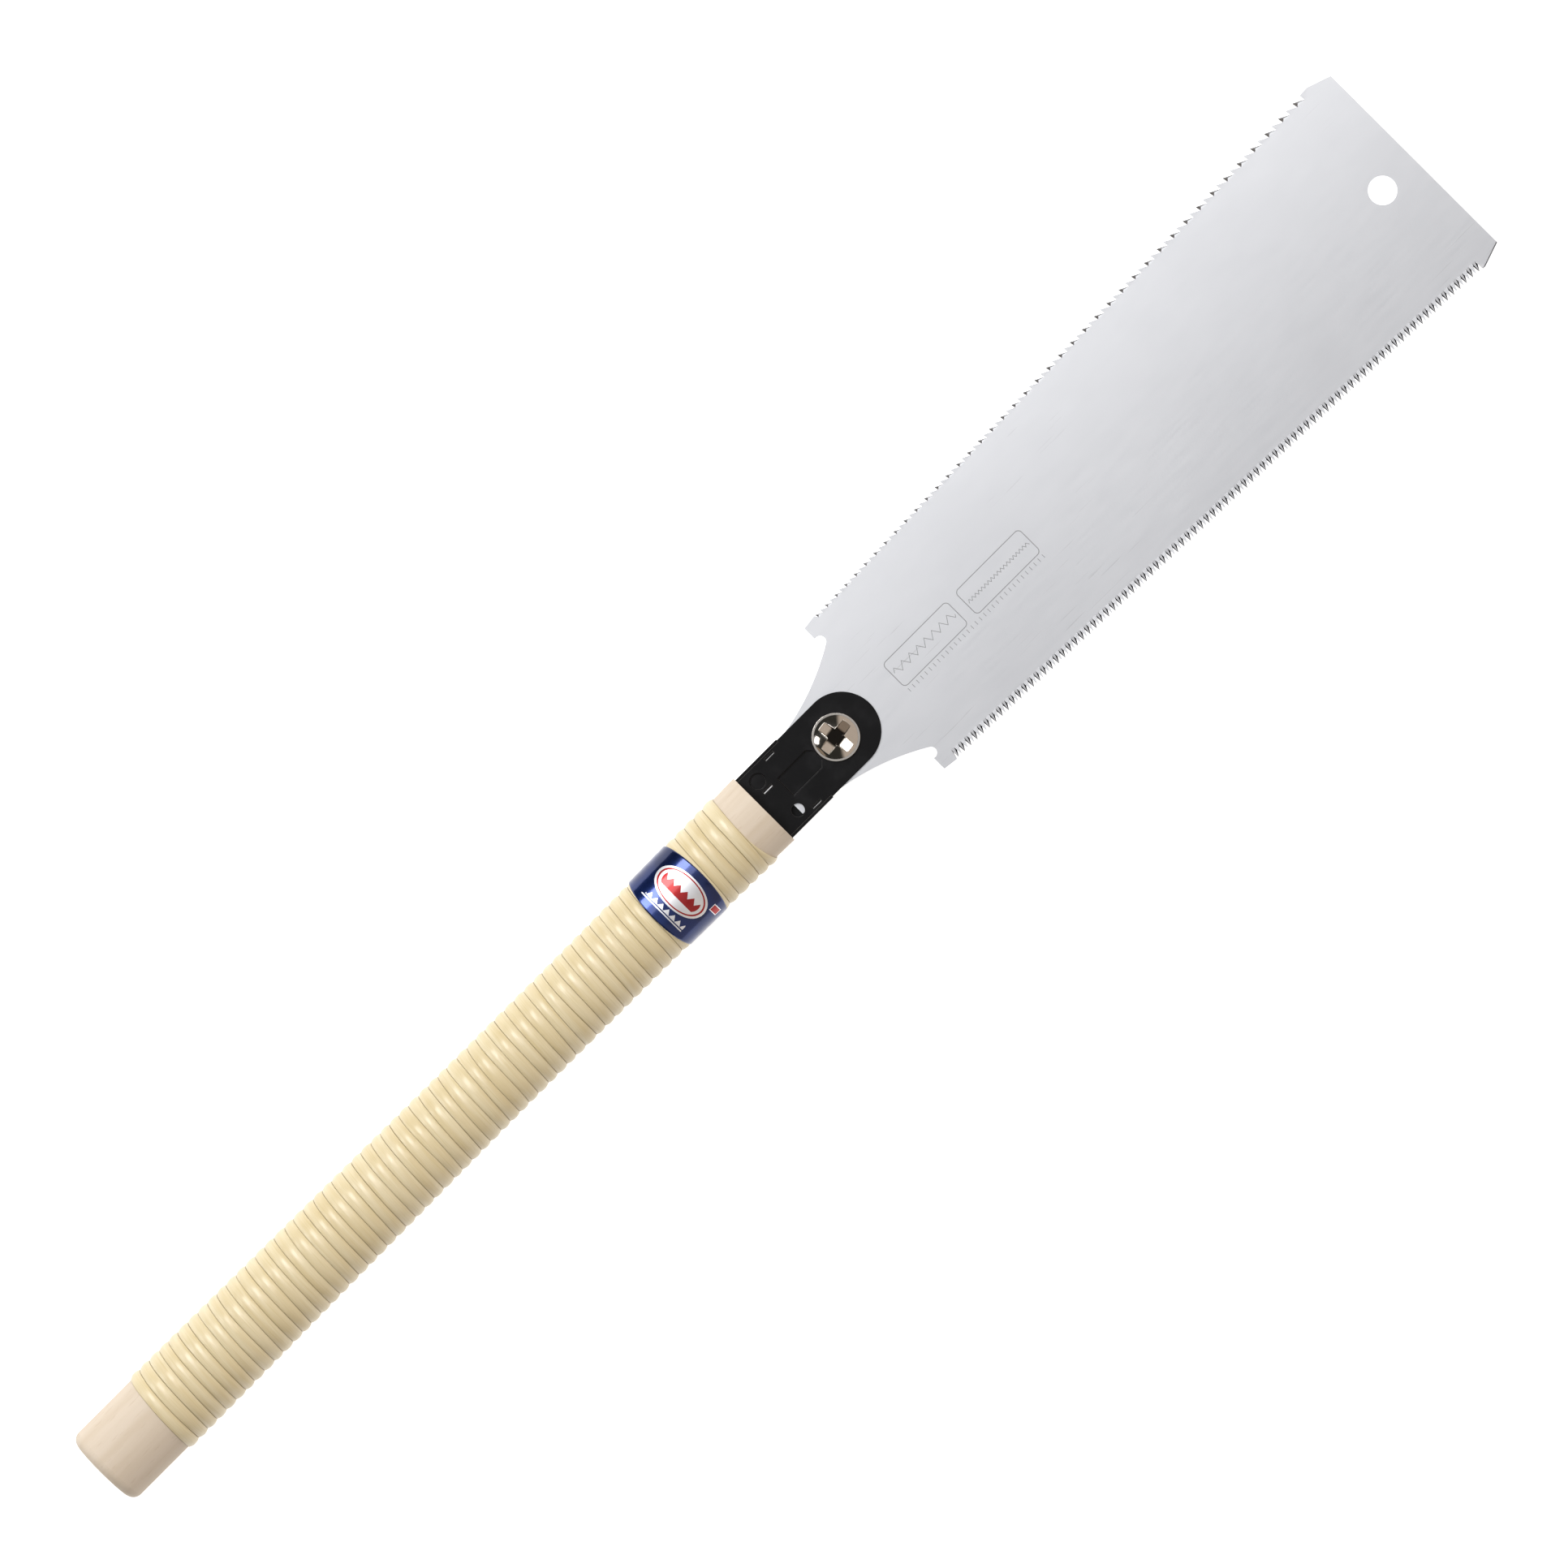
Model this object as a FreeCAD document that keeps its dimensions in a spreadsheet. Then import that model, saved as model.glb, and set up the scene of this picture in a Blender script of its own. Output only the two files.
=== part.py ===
"""Hand saw with a replaceable double-edged blade, a pressed steel head and a wrapped handle.

The saw lies flat.  +X runs from the butt of the handle to the tip of the blade, +Y crosses the
blade towards its rip teeth and +Z is up.  The origin is in the middle of the saw's length and
width, on the surface that the handle lies on.  All sizes are in millimetres.
"""
import FreeCAD, Part
import math
import os

import Sketcher

doc = FreeCAD.newDocument("hand_saw")
sheet = doc.addObject("Spreadsheet::Sheet", "Sizes")


# ---------------------------------------------------------------- driving dimensions

def write_sizes(rows):
    """Fill the sheet: one row per size, with its name, its plain number and what it is."""
    for number, (alias, value, meaning) in enumerate(rows, start=1):
        sheet.set("A%d" % number, alias)
        sheet.set("B%d" % number, str(value))
        sheet.set("C%d" % number, meaning)
        sheet.setAlias("B%d" % number, alias)


write_sizes([
    # handle
    ("handle_length", 316.2, "wooden core, from the butt to the face under the head"),
    ("butt_width", 29.7, "oval of the butt, across the blade"),
    ("butt_height", 24.6, "oval of the butt, through the blade"),
    ("butt_straight", 30.0, "length of the butt that does not taper"),
    ("butt_round", 3.5, "rounding of the butt's rim"),
    ("swell_place", 100.0, "station of the swell, from the butt"),
    ("swell_width", 28.5, "oval at the swell"),
    ("swell_height", 23.5, "oval at the swell"),
    ("waist_place", 190.0, "station of the waist, from the butt"),
    ("waist_width", 27.2, "oval at the waist"),
    ("waist_height", 22.4, "oval at the waist"),
    ("collar_width", 29.3, "oval of the front face"),
    ("collar_height", 24.2, "oval of the front face"),
    ("bare_butt", 24.0, "bare wood behind the wrap"),
    ("bare_collar", 6.6, "bare wood in front of the wrap"),
    ("wrap_thickness", 0.95, "thickness of the rattan strip"),
    ("label_place", 275.0, "middle of the label band, from the butt"),
    ("label_width", 20.0, "label band, along the handle"),
    ("label_thickness", 0.15, "foil of the label band"),
    # tang of the head, inside the handle
    ("tang_length", 72.0, "tang behind the front face"),
    ("tang_width", 14.0, "tang across the handle"),
    ("tang_corner", 3.0, "rounding of the tang's end"),
    ("joggle_start", 2.0, "straight root of the tang"),
    ("joggle_length", 3.0, "length over which the tang steps to the middle plane"),
    ("socket_clearance", 0.1, "room around the tang in the wood"),
    ("pin_diameter", 4.0, "cross pins through the core and the tang"),
    ("pin_length", 19.0, "cross pins, shorter than the core is high"),
    ("pin_first", 24.0, "first pin, behind the front face"),
    ("pin_spacing", 30.0, "between the two pins"),
    ("pin_clearance", 0.02, "radial room around the pins"),
    # head plates
    ("plate_thickness", 1.2, "both pressed plates"),
    ("head_width", 26.8, "plates in front of the side walls"),
    ("head_back", 34.4, "screw axis to the handle's front face"),
    ("head_front", 16.2, "screw axis to the nose"),
    ("wall_front", 14.9, "screw axis to the front end of the side walls"),
    ("wall_thickness", 1.0, "folded side walls of the back plate"),
    ("wall_proud", 0.35, "side walls beyond the width of the nose, each side"),
    ("wall_round", 0.7, "outside bend of the side walls"),
    ("cover_clearance", 0.08, "cover plate between the side walls, each side"),
    ("punch_round", 0.25, "rolled upper rim of the cover plate"),
    # key, stop, sight hole and tabs of the head, placed from the screw axis
    ("key_length", 15.0, "pressed key that guides the blade's slot"),
    ("shank_room", 0.15, "between the screw and the blade's slot, each side"),
    ("key_front", 8.8, "screw axis to the front end of the key"),
    ("key_corner", 1.9, "cut corners at the front of the key"),
    ("press_round", 0.3, "rolled upper edges of the key and the stop"),
    ("press_wall", 0.1, "the key's hollow is larger than its underside, each side"),
    ("stop_place", 29.3, "screw axis to the round stop, along the saw"),
    ("stop_side", 8.0, "round stop, across the saw"),
    ("stop_radius", 2.7, "round stop"),
    ("stop_flat", 2.6, "flat of the stop, from its middle"),
    ("sight_place", 26.5, "screw axis to the sight hole, along the saw"),
    ("sight_side", 8.4, "sight hole, across the saw"),
    ("sight_radius", 2.3, "sight hole"),
    ("tab_length", 3.9, "tabs of the back plate, along the saw"),
    ("tab_thickness", 0.9, "tabs, across the saw"),
    ("tab_clearance", 0.1, "slot of a tab, each side"),
    ("tab_sunk", 0.25, "tab ends below the top of the cover plate"),
    ("side_tab_place", 20.5, "screw axis to the middle of the two side tabs"),
    ("side_tab_side", 11.4, "side tabs, across the saw"),
    ("rear_tab_place", 28.7, "screw axis to the middle of the rear tab"),
    ("rear_tab_side", 3.85, "rear tab, across the saw"),
    # clamp screw, washer and nut
    ("shank_diameter", 8.0, "screw"),
    ("shank_clearance", 0.05, "radial room in the nut"),
    ("hole_clearance", 0.2, "radial room in the cover plate and the washer"),
    ("shank_end", 5.7, "end of the screw below the middle of the blade"),
    ("shank_chamfer", 0.6, "end of the screw"),
    ("dome_diameter", 15.0, "screw head"),
    ("dome_height", 3.7, "screw head, with its rim"),
    ("dome_rim", 0.8, "straight rim under the dome"),
    ("recess_mouth", 11.6, "arms of the cross recess, carried up to the top of the dome"),
    ("recess_floor", 2.4, "arms of the cross recess at its floor, from the axis"),
    ("recess_arm_mouth", 3.9, "width of an arm at the top of the dome"),
    ("recess_arm_floor", 3.0, "width of an arm at the floor"),
    ("recess_depth", 3.2, "cross recess below the top of the dome"),
    ("recess_turn", 8.0, "degrees that the recess is turned from the saw's length"),
    ("washer_diameter", 16.4, "washer"),
    ("washer_thickness", 0.8, "washer"),
    ("seat_gap", 0.02, "between plate and washer, and between washer and screw head"),
    ("nut_flats", 13.0, "hexagon of the clamp nut"),
    ("nut_height", 3.6, "hexagon below the back plate"),
    ("nut_crown", 2.0, "growth of the nut's chamfer cone in radius, for each mm of height"),
    ("spigot_wall", 1.0, "wall of the round spigot in the back plate"),
    # blade, placed from the screw axis
    ("blade_thickness", 0.6, "blade"),
    ("blade_clearance", 0.05, "between the blade and each plate"),
    ("blade_reach", 276.4, "screw axis to the tip"),
    ("legs_end", 26.2, "screw axis to the ends of the two legs of the tang"),
    ("legs_width", 20.8, "over both legs"),
    ("slot_clearance", 0.1, "between the slot and the key, each side"),
    ("shoulder_back", 17.0, "screw axis to where the legs start to widen"),
    ("shoulder_front", 13.6, "screw axis to where the legs meet the neck's curve"),
    ("neck_radius", 90.0, "hollow curve of the neck"),
    ("neck_start", 26.0, "screw axis to the narrowest place of the neck's curve"),
    ("neck_width", 24.2, "narrowest width of the neck's curve"),
    ("notch_radius", 2.0, "round notch between the neck and the heel"),
    ("notch_ahead", 0.67, "middle of the notch ahead of the heel"),
    ("heel_place", 18.4, "screw axis to the heel"),
    ("heel_width", 67.0, "over the heel's corners"),
    ("heel_land", 5.4, "toothless edge at the heel, along the saw"),
    ("heel_rise", 0.7, "rise of the tooth points over the heel's corner"),
    ("toe_place", 267.9, "screw axis to the last tooth"),
    ("toe_width", 85.4, "over the last teeth"),
    ("tip_width", 79.6, "end of the blade"),
    ("hang_place", 261.4, "screw axis to the hanging hole"),
    ("hang_radius", 5.0, "hanging hole"),
    ("crosscut_pitch", 1.45, "crosscut teeth"),
    ("crosscut_depth", 2.6, "crosscut teeth"),
    ("crosscut_lean", 0.15, "point of a crosscut tooth, as a share of its pitch from its gullet"),
    ("rip_pitch_heel", 2.31, "rip teeth at the heel"),
    ("rip_pitch_toe", 3.58, "rip teeth at the toe"),
    ("rip_start", 0.3, "first gullet from the heel's land, as a share of the pitch"),
    ("rip_depth", 0.62, "depth of a rip tooth, as a share of its pitch"),
    ("rip_hook", 0.12, "point of a rip tooth, as a share of its pitch back from its gullet"),
])
doc.recompute()


def size(expression):
    """Number that an expression of the sheet's names gives."""
    return float(sheet.evalExpression(in_sheet(expression)))


def in_sheet(expression):
    """The expression with each size's name written as the sheet's cell; sqrt is a function."""
    words = expression.replace("(", " ( ").replace(")", " ) ").split()
    plain = "0123456789.()+-*/"
    named = [word if word[0] in plain or word == "sqrt" else "Sizes." + word for word in words]
    return " ".join(named).replace("sqrt (", "sqrt(")


# Two places closer than this, in mm, are one place.
NEAR = 1e-6

# Places that several pieces share, in the sheet's names.
LENGTH = "( handle_length + head_back + blade_reach )"
SCREW_X = "handle_length + head_back - %s / 2" % LENGTH
BUTT_X = "0 - %s / 2" % LENGTH
MIDDLE_Z = "butt_height / 2 + wrap_thickness"
PLATE_INSIDE = "( blade_thickness / 2 + blade_clearance )"
PLATE_OUTSIDE = "( blade_thickness / 2 + blade_clearance + plate_thickness )"
WALL_OUTSIDE = "( head_width / 2 + wall_proud )"
WALL_INSIDE = "( head_width / 2 + wall_proud - wall_thickness )"
EMBOSS = "( blade_thickness + 2 * blade_clearance )"
HEAD_SEAT = "( %s + washer_thickness + 2 * seat_gap )" % PLATE_OUTSIDE
KEY_WIDTH = "( shank_diameter + 2 * shank_room - 2 * slot_clearance )"
SPIGOT = "( shank_diameter / 2 + spigot_wall )"


# ---------------------------------------------------------------- how bodies are drawn

def new_body(label, place_x):
    """Body whose own origin is on the blade's middle plane, at place_x along the saw."""
    body = doc.addObject("PartDesign::Body", label)
    body.Label = label
    body.setExpression("Placement.Base.x", in_sheet(place_x))
    body.setExpression("Placement.Base.z", in_sheet(MIDDLE_Z))
    return body


def new_sketch(body, name, plane="XY_Plane", level="0"):
    """Empty sketch on one of the body's own origin planes, moved along its normal to level."""
    sketch = body.newObject("Sketcher::SketchObject", name)
    support = [item for item in body.Origin.OriginFeatures if item.Role == plane][0]
    sketch.AttachmentSupport = [(support, "")]
    sketch.MapMode = "FlatFace"
    sketch.setExpression("AttachmentOffset.Base.z", in_sheet(level))
    return sketch


def bind(sketch, constraint, expression):
    """Add one driving constraint and bind it to the sheet."""
    index = sketch.addConstraint(constraint)
    sketch.setExpression("Constraints[%d]" % index, in_sheet(expression))


def pin_down(sketch, geometry, point, corner):
    """Hold one point of the sketch at a place given by two expressions."""
    for kind, axis, expression in zip(("DistanceX", "DistanceY"), (-2, -1), corner):
        value = size(expression)
        if abs(value) < NEAR:
            sketch.addConstraint(Sketcher.Constraint("PointOnObject", geometry, point, axis))
        else:
            link = Sketcher.Constraint(kind, -1, 1, geometry, point, value)
            bind(sketch, link, expression)


def draw_outline(sketch, corners, arcs=None):
    """Closed outline through the corners.

    arcs maps the number of a corner to the (x, y, held) of the centre of an anticlockwise arc
    that runs from that corner to the next; held is the centre's coordinate that is constrained,
    because the two corners already settle the other one.
    """
    arcs = arcs or {}
    places = [FreeCAD.Vector(size(across), size(up), 0) for across, up in corners]
    count = len(corners)
    for number, start in enumerate(places):
        end = places[(number + 1) % count]
        if number in arcs:
            centre = FreeCAD.Vector(size(arcs[number][0]), size(arcs[number][1]), 0)
            circle = Part.Circle(centre, FreeCAD.Vector(0, 0, 1), (start - centre).Length)
            edge = Part.ArcOfCircle(circle, circle.parameter(start), circle.parameter(end))
        else:
            edge = Part.LineSegment(start, end)
        sketch.addGeometry(edge, False)
    for number, corner in enumerate(corners):
        following = (number + 1) % count
        sketch.addConstraint(Sketcher.Constraint("Coincident", number, 2, following, 1))
        pin_down(sketch, number, 1, corner)
    for number, (centre_x, centre_y, held) in arcs.items():
        across = held == "x"
        kind, axis = ("DistanceX", -2) if across else ("DistanceY", -1)
        expression = centre_x if across else centre_y
        value = size(expression)
        if abs(value) < NEAR:
            sketch.addConstraint(Sketcher.Constraint("PointOnObject", number, 3, axis))
        else:
            bind(sketch, Sketcher.Constraint(kind, -1, 1, number, 3, value), expression)


def draw_box(sketch, low_x, high_x, low_y, high_y):
    """Rectangle between two places along and two places across the sketch."""
    draw_outline(sketch, [(low_x, low_y), (high_x, low_y), (high_x, high_y), (low_x, high_y)])


def draw_circle(sketch, place_x, place_y, radius):
    """Circle at a place, with its radius bound."""
    centre = FreeCAD.Vector(size(place_x), size(place_y), 0)
    circle = Part.Circle(centre, FreeCAD.Vector(0, 0, 1), size(radius))
    number = sketch.addGeometry(circle, False)
    pin_down(sketch, number, 3, (place_x, place_y))
    bind(sketch, Sketcher.Constraint("Radius", number, size(radius)), radius)


def draw_oval(sketch, width, height):
    """Ellipse about the sketch's origin, width along its first axis."""
    half_width = size(width) / 2
    half_height = size(height) / 2
    oval = Part.Ellipse(FreeCAD.Vector(half_width, 0, 0), FreeCAD.Vector(0, half_height, 0),
                        FreeCAD.Vector(0, 0, 0))
    sketch.addGeometry(oval, False)
    sketch.exposeInternalGeometry(0)
    sketch.addConstraint(Sketcher.Constraint("Coincident", 0, 3, -1, 1))
    sketch.addConstraint(Sketcher.Constraint("PointOnObject", 1, 1, -1))
    bind(sketch, Sketcher.Constraint("Distance", 1, 1, 1, 2, 2 * half_width), width)
    bind(sketch, Sketcher.Constraint("Distance", 2, 1, 2, 2, 2 * half_height), height)


def extrude(body, kind, name, sketch, length, reverse=False):
    """Pad or Pocket of a sketch; reverse turns it round."""
    feature = body.newObject("PartDesign::" + kind, name)
    feature.Profile = sketch
    feature.Reversed = reverse
    feature.setExpression("Length", in_sheet(length))
    sketch.Visibility = False
    return feature


def loft(body, kind, name, sketches):
    """AdditiveLoft or SubtractiveLoft through the sketches."""
    feature = body.newObject("PartDesign::" + kind, name)
    feature.Profile = sketches[0]
    feature.Sections = sketches[1:]
    return feature


def turned(body, name, corners, arcs=None):
    """Solid of revolution about Z of an outline in the XZ plane."""
    sketch = new_sketch(body, name + "_profile", "XZ_Plane")
    draw_outline(sketch, corners, arcs)
    feature = body.newObject("PartDesign::Revolution", name)
    feature.Profile = sketch
    feature.ReferenceAxis = (sketch, ["V_Axis"])
    feature.Angle = 360
    return feature


def edges_where(feature, test):
    """Names of the edges whose middle point passes the test."""
    names = []
    for number, edge in enumerate(feature.Shape.Edges, start=1):
        middle = edge.valueAt((edge.FirstParameter + edge.LastParameter) / 2)
        if test(middle, edge):
            names.append("Edge%d" % number)
    return names


def round_edges(body, name, feature, radius, test):
    """Fillet of the edges that pass the test."""
    fillet = body.newObject("PartDesign::Fillet", name)
    fillet.Base = (feature, edges_where(feature, test))
    fillet.setExpression("Radius", in_sheet(radius))
    return fillet


# ---------------------------------------------------------------- handle: core, wrap, label

# The core's oval at four stations from the butt; the first one also ends the straight butt.
STATIONS = [
    ("butt", "butt_straight", "butt_width", "butt_height"),
    ("swell", "swell_place", "swell_width", "swell_height"),
    ("waist", "waist_place", "waist_width", "waist_height"),
    ("collar", "handle_length", "collar_width", "collar_height"),
]


# The two cross pins, measured back from the core's front face.
PIN_PLACES = ["pin_first", "pin_first + pin_spacing"]


def oval_sketches(body, skin, grow):
    """Ovals of the core at its stations, each grown all round by the expression grow."""
    sketches = []
    for name, place, width, height in STATIONS:
        sketch = new_sketch(body, "%s_%s" % (skin, name), "YZ_Plane", place)
        draw_oval(sketch, "%s + 2 * ( %s )" % (width, grow), "%s + 2 * ( %s )" % (height, grow))
        sketches.append(sketch)
    return sketches


def handle_half(label, above):
    """One half of the split core, with its share of the tang's socket and of the pin holes."""
    body = new_body(label, BUTT_X)
    butt = new_sketch(body, label + "_butt", "YZ_Plane")
    draw_oval(butt, "butt_width", "butt_height")
    straight = extrude(body, "Pad", label + "_straight", butt, "butt_straight")
    doc.recompute()
    round_edges(body, label + "_rim", straight, "butt_round",
                lambda middle, edge: abs(middle.x) < NEAR)
    loft(body, "AdditiveLoft", label + "_taper", oval_sketches(body, label, "0"))
    other_half = new_sketch(body, label + "_split")
    draw_box(other_half, "0 - butt_straight", "handle_length + butt_straight",
             "0 - butt_width", "butt_width")
    extrude(body, "Pocket", label + "_other_half", other_half, "butt_height", reverse=not above)
    socket = new_sketch(body, label + "_socket")
    half_socket = "( tang_width / 2 + socket_clearance )"
    draw_box(socket, "handle_length - tang_length - socket_clearance",
             "handle_length + butt_straight", "0 - " + half_socket, half_socket)
    extrude(body, "Pocket", label + "_socket_cut", socket,
            "plate_thickness / 2 + socket_clearance", reverse=above)
    if not above:
        root = new_sketch(body, label + "_root")
        draw_box(root, "handle_length - joggle_start - joggle_length - socket_clearance",
                 "handle_length + butt_straight", "0 - " + half_socket, half_socket)
        extrude(body, "Pocket", label + "_root_cut", root,
                "%s + socket_clearance" % PLATE_OUTSIDE)
    holes = new_sketch(body, label + "_pin_holes")
    for place in PIN_PLACES:
        draw_circle(holes, "handle_length - ( %s )" % place, "0",
                    "pin_diameter / 2 + pin_clearance")
    extrude(body, "Pocket", label + "_pin_holes_cut", holes, "butt_height", reverse=above)
    return body


def sleeve(label, inner_grow, outer_grow, start, end):
    """Skin that lies on the handle between two places from the butt."""
    body = new_body(label, BUTT_X)
    butt = new_sketch(body, label + "_outer_butt", "YZ_Plane")
    draw_oval(butt, "butt_width + 2 * ( %s )" % outer_grow,
              "butt_height + 2 * ( %s )" % outer_grow)
    extrude(body, "Pad", label + "_outer_straight", butt, "butt_straight")
    loft(body, "AdditiveLoft", label + "_outer_taper",
         oval_sketches(body, label + "_outer", outer_grow))
    hollow = new_sketch(body, label + "_inner_butt", "YZ_Plane", "butt_straight")
    draw_oval(hollow, "butt_width + 2 * ( %s )" % inner_grow,
              "butt_height + 2 * ( %s )" % inner_grow)
    extrude(body, "Pocket", label + "_inner_straight", hollow, "butt_straight")
    loft(body, "SubtractiveLoft", label + "_inner_taper",
         oval_sketches(body, label + "_inner", inner_grow))
    beyond_butt = "0 - butt_straight"
    beyond_collar = "handle_length + butt_straight"
    for name, low, high in (("back", beyond_butt, start), ("front", end, beyond_collar)):
        trim = new_sketch(body, "%s_trim_%s" % (label, name), "XY_Plane", "0 - butt_height")
        draw_box(trim, low, high, "0 - butt_width", "butt_width")
        extrude(body, "Pocket", "%s_cut_%s" % (label, name), trim, "2 * butt_height", reverse=True)
    return body


handle_half("handle_half_upper", above=True)
handle_half("handle_half_lower", above=False)
sleeve("rattan_wrap", "0", "wrap_thickness", "bare_butt", "handle_length - bare_collar")
sleeve("label_band", "wrap_thickness", "wrap_thickness + label_thickness",
       "label_place - label_width / 2", "label_place + label_width / 2")


def tang_pins():
    """Two plain steel pins that hold the tang in the core; the wrap covers their ends."""
    pins = []
    for number, place in enumerate(PIN_PLACES, start=1):
        pin = doc.addObject("Part::Cylinder", "tang_pin_%d" % number)
        pin.setExpression("Radius", in_sheet("pin_diameter / 2"))
        pin.setExpression("Height", in_sheet("pin_length"))
        pin.setExpression("Placement.Base.x", in_sheet("0 - ( %s )" % place))
        pin.setExpression("Placement.Base.z", in_sheet("0 - pin_length / 2"))
        pins.append(pin)
    group = doc.addObject("Part::Compound", "tang_pins")
    group.Label = "tang_pins"
    group.Links = pins
    group.setExpression("Placement.Base.x", in_sheet("%s + handle_length" % BUTT_X))
    group.setExpression("Placement.Base.z", in_sheet(MIDDLE_Z))
    return group


tang_pins()


# ---------------------------------------------------------------- head: two pressed plates

NOSE_CENTRE = "( head_front - head_width / 2 )"
HALF_HEAD = "( head_width / 2 )"
TABS = [
    ("side_tab_left", "0 - side_tab_place", "side_tab_side"),
    ("side_tab_right", "0 - side_tab_place", "0 - side_tab_side"),
    ("rear_tab", "0 - rear_tab_place", "rear_tab_side"),
]


def plate_outline(sketch, rear_half_width):
    """Plate with a round nose and a rear part of its own width."""
    corners = [
        ("0 - head_back", "0 - " + rear_half_width),
        ("0 - wall_front", "0 - " + rear_half_width),
        ("0 - wall_front", "0 - " + HALF_HEAD),
        (NOSE_CENTRE, "0 - " + HALF_HEAD),
        (NOSE_CENTRE, HALF_HEAD),
        ("0 - wall_front", HALF_HEAD),
        ("0 - wall_front", rear_half_width),
        ("0 - head_back", rear_half_width),
    ]
    draw_outline(sketch, corners, {3: (NOSE_CENTRE, "0", "x")})


def tab_rectangle(sketch, place_x, place_y, room):
    """Rectangle of one tab, with room left all round."""
    half_length = "( tab_length / 2 + %s )" % room
    half_thickness = "( tab_thickness / 2 + %s )" % room
    draw_box(sketch, "%s - %s" % (place_x, half_length), "%s + %s" % (place_x, half_length),
             "%s - %s" % (place_y, half_thickness), "%s + %s" % (place_y, half_thickness))


def key_outline(sketch, room):
    """Pressed key: a rectangle whose two front corners are cut off."""
    half_width = "( %s / 2 + %s )" % (KEY_WIDTH, room)
    inner = "( %s / 2 + %s - key_corner )" % (KEY_WIDTH, room)
    front = "( key_front - %s )" % room
    draw_outline(sketch, [
        ("0 - key_front - key_length - %s" % room, "0 - " + half_width),
        ("0 - %s - key_corner" % front, "0 - " + half_width),
        ("0 - " + front, "0 - " + inner),
        ("0 - " + front, inner),
        ("0 - %s - key_corner" % front, half_width),
        ("0 - key_front - key_length - %s" % room, half_width),
    ])


def stop_outline(sketch, room):
    """Round stop with a flat on the side that faces the saw's axis."""
    radius = "( stop_radius + %s )" % room
    reach = math.sqrt(size(radius) ** 2 - size("stop_flat") ** 2)
    middle = FreeCAD.Vector(size("0 - stop_place"), size("stop_side"), 0)
    drop = size("stop_flat")
    circle = Part.Circle(middle, FreeCAD.Vector(0, 0, 1), size(radius))
    right = middle + FreeCAD.Vector(reach, -drop, 0)
    left = middle + FreeCAD.Vector(-reach, -drop, 0)
    sketch.addGeometry(Part.ArcOfCircle(circle, circle.parameter(right), circle.parameter(left)),
                       False)
    sketch.addGeometry(Part.LineSegment(left, right), False)
    sketch.addConstraint(Sketcher.Constraint("Coincident", 0, 2, 1, 1))
    sketch.addConstraint(Sketcher.Constraint("Coincident", 1, 2, 0, 1))
    sketch.addConstraint(Sketcher.Constraint("Horizontal", 1))
    pin_down(sketch, 0, 3, ("0 - stop_place", "stop_side"))
    bind(sketch, Sketcher.Constraint("Radius", 0, size(radius)), radius)
    bind(sketch, Sketcher.Constraint("DistanceY", -1, 1, 1, 1, left.y), "stop_side - stop_flat")


def head_back_plate():
    """Lower plate with folded side walls, three tabs and the tang that enters the handle."""
    body = new_body("head_back_plate", SCREW_X)
    plate = new_sketch(body, "back_outline", "XY_Plane", "0 - " + PLATE_OUTSIDE)
    plate_outline(plate, WALL_OUTSIDE)
    extrude(body, "Pad", "back_plate", plate, "plate_thickness")
    for name, side in (("left", ""), ("right", "0 - ")):
        wall = new_sketch(body, "wall_%s" % name, "XY_Plane", "0 - " + PLATE_OUTSIDE)
        draw_box(wall, "0 - head_back", "0 - wall_front",
                 side + WALL_INSIDE, side + WALL_OUTSIDE)
        extrude(body, "Pad", "wall_%s_pad" % name, wall, "2 * " + PLATE_OUTSIDE)
    doc.recompute()
    bottom = -size(PLATE_OUTSIDE)
    outside = size(WALL_OUTSIDE)
    bends = round_edges(body, "wall_bends", body.Tip, "wall_round",
                        lambda middle, edge: abs(middle.z - bottom) < NEAR
                        and abs(abs(middle.y) - outside) < NEAR)
    body.Tip = bends
    for name, place_x, place_y in TABS:
        tab = new_sketch(body, name, "XY_Plane", "0 - " + PLATE_INSIDE)
        tab_rectangle(tab, place_x, place_y, "0")
        extrude(body, "Pad", name + "_pad", tab,
                "%s + %s - tab_sunk" % (PLATE_INSIDE, PLATE_OUTSIDE))
    tang = new_sketch(body, "tang_side", "XZ_Plane", "0 - tang_width / 2")
    half = "( plate_thickness / 2 )"
    step_start = "0 - head_back - joggle_start"
    step_end = step_start + " - joggle_length"
    draw_outline(tang, [
        ("0 - head_back", "0 - " + PLATE_OUTSIDE),
        ("0 - head_back", "0 - " + PLATE_INSIDE),
        (step_start, "0 - " + PLATE_INSIDE),
        (step_end, half),
        ("0 - head_back - tang_length", half),
        ("0 - head_back - tang_length", "0 - " + half),
        (step_end, "0 - " + half),
        (step_start, "0 - " + PLATE_OUTSIDE),
    ])
    extrude(body, "Pad", "tang", tang, "tang_width")
    doc.recompute()
    end = -size("head_back + tang_length")
    corner = round_edges(body, "tang_corners", body.Tip, "tang_corner",
                         lambda middle, edge: abs(middle.x - end) < NEAR and abs(middle.z) < NEAR)
    body.Tip = corner
    holes = new_sketch(body, "back_holes", "XY_Plane", "0 - " + PLATE_OUTSIDE)
    draw_circle(holes, "0", "0", SPIGOT)
    for place in PIN_PLACES:
        draw_circle(holes, "0 - head_back - ( %s )" % place, "0",
                    "pin_diameter / 2 + pin_clearance")
    extrude(body, "Pocket", "back_holes_cut", holes, "2 * " + PLATE_OUTSIDE, reverse=True)
    return body


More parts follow.
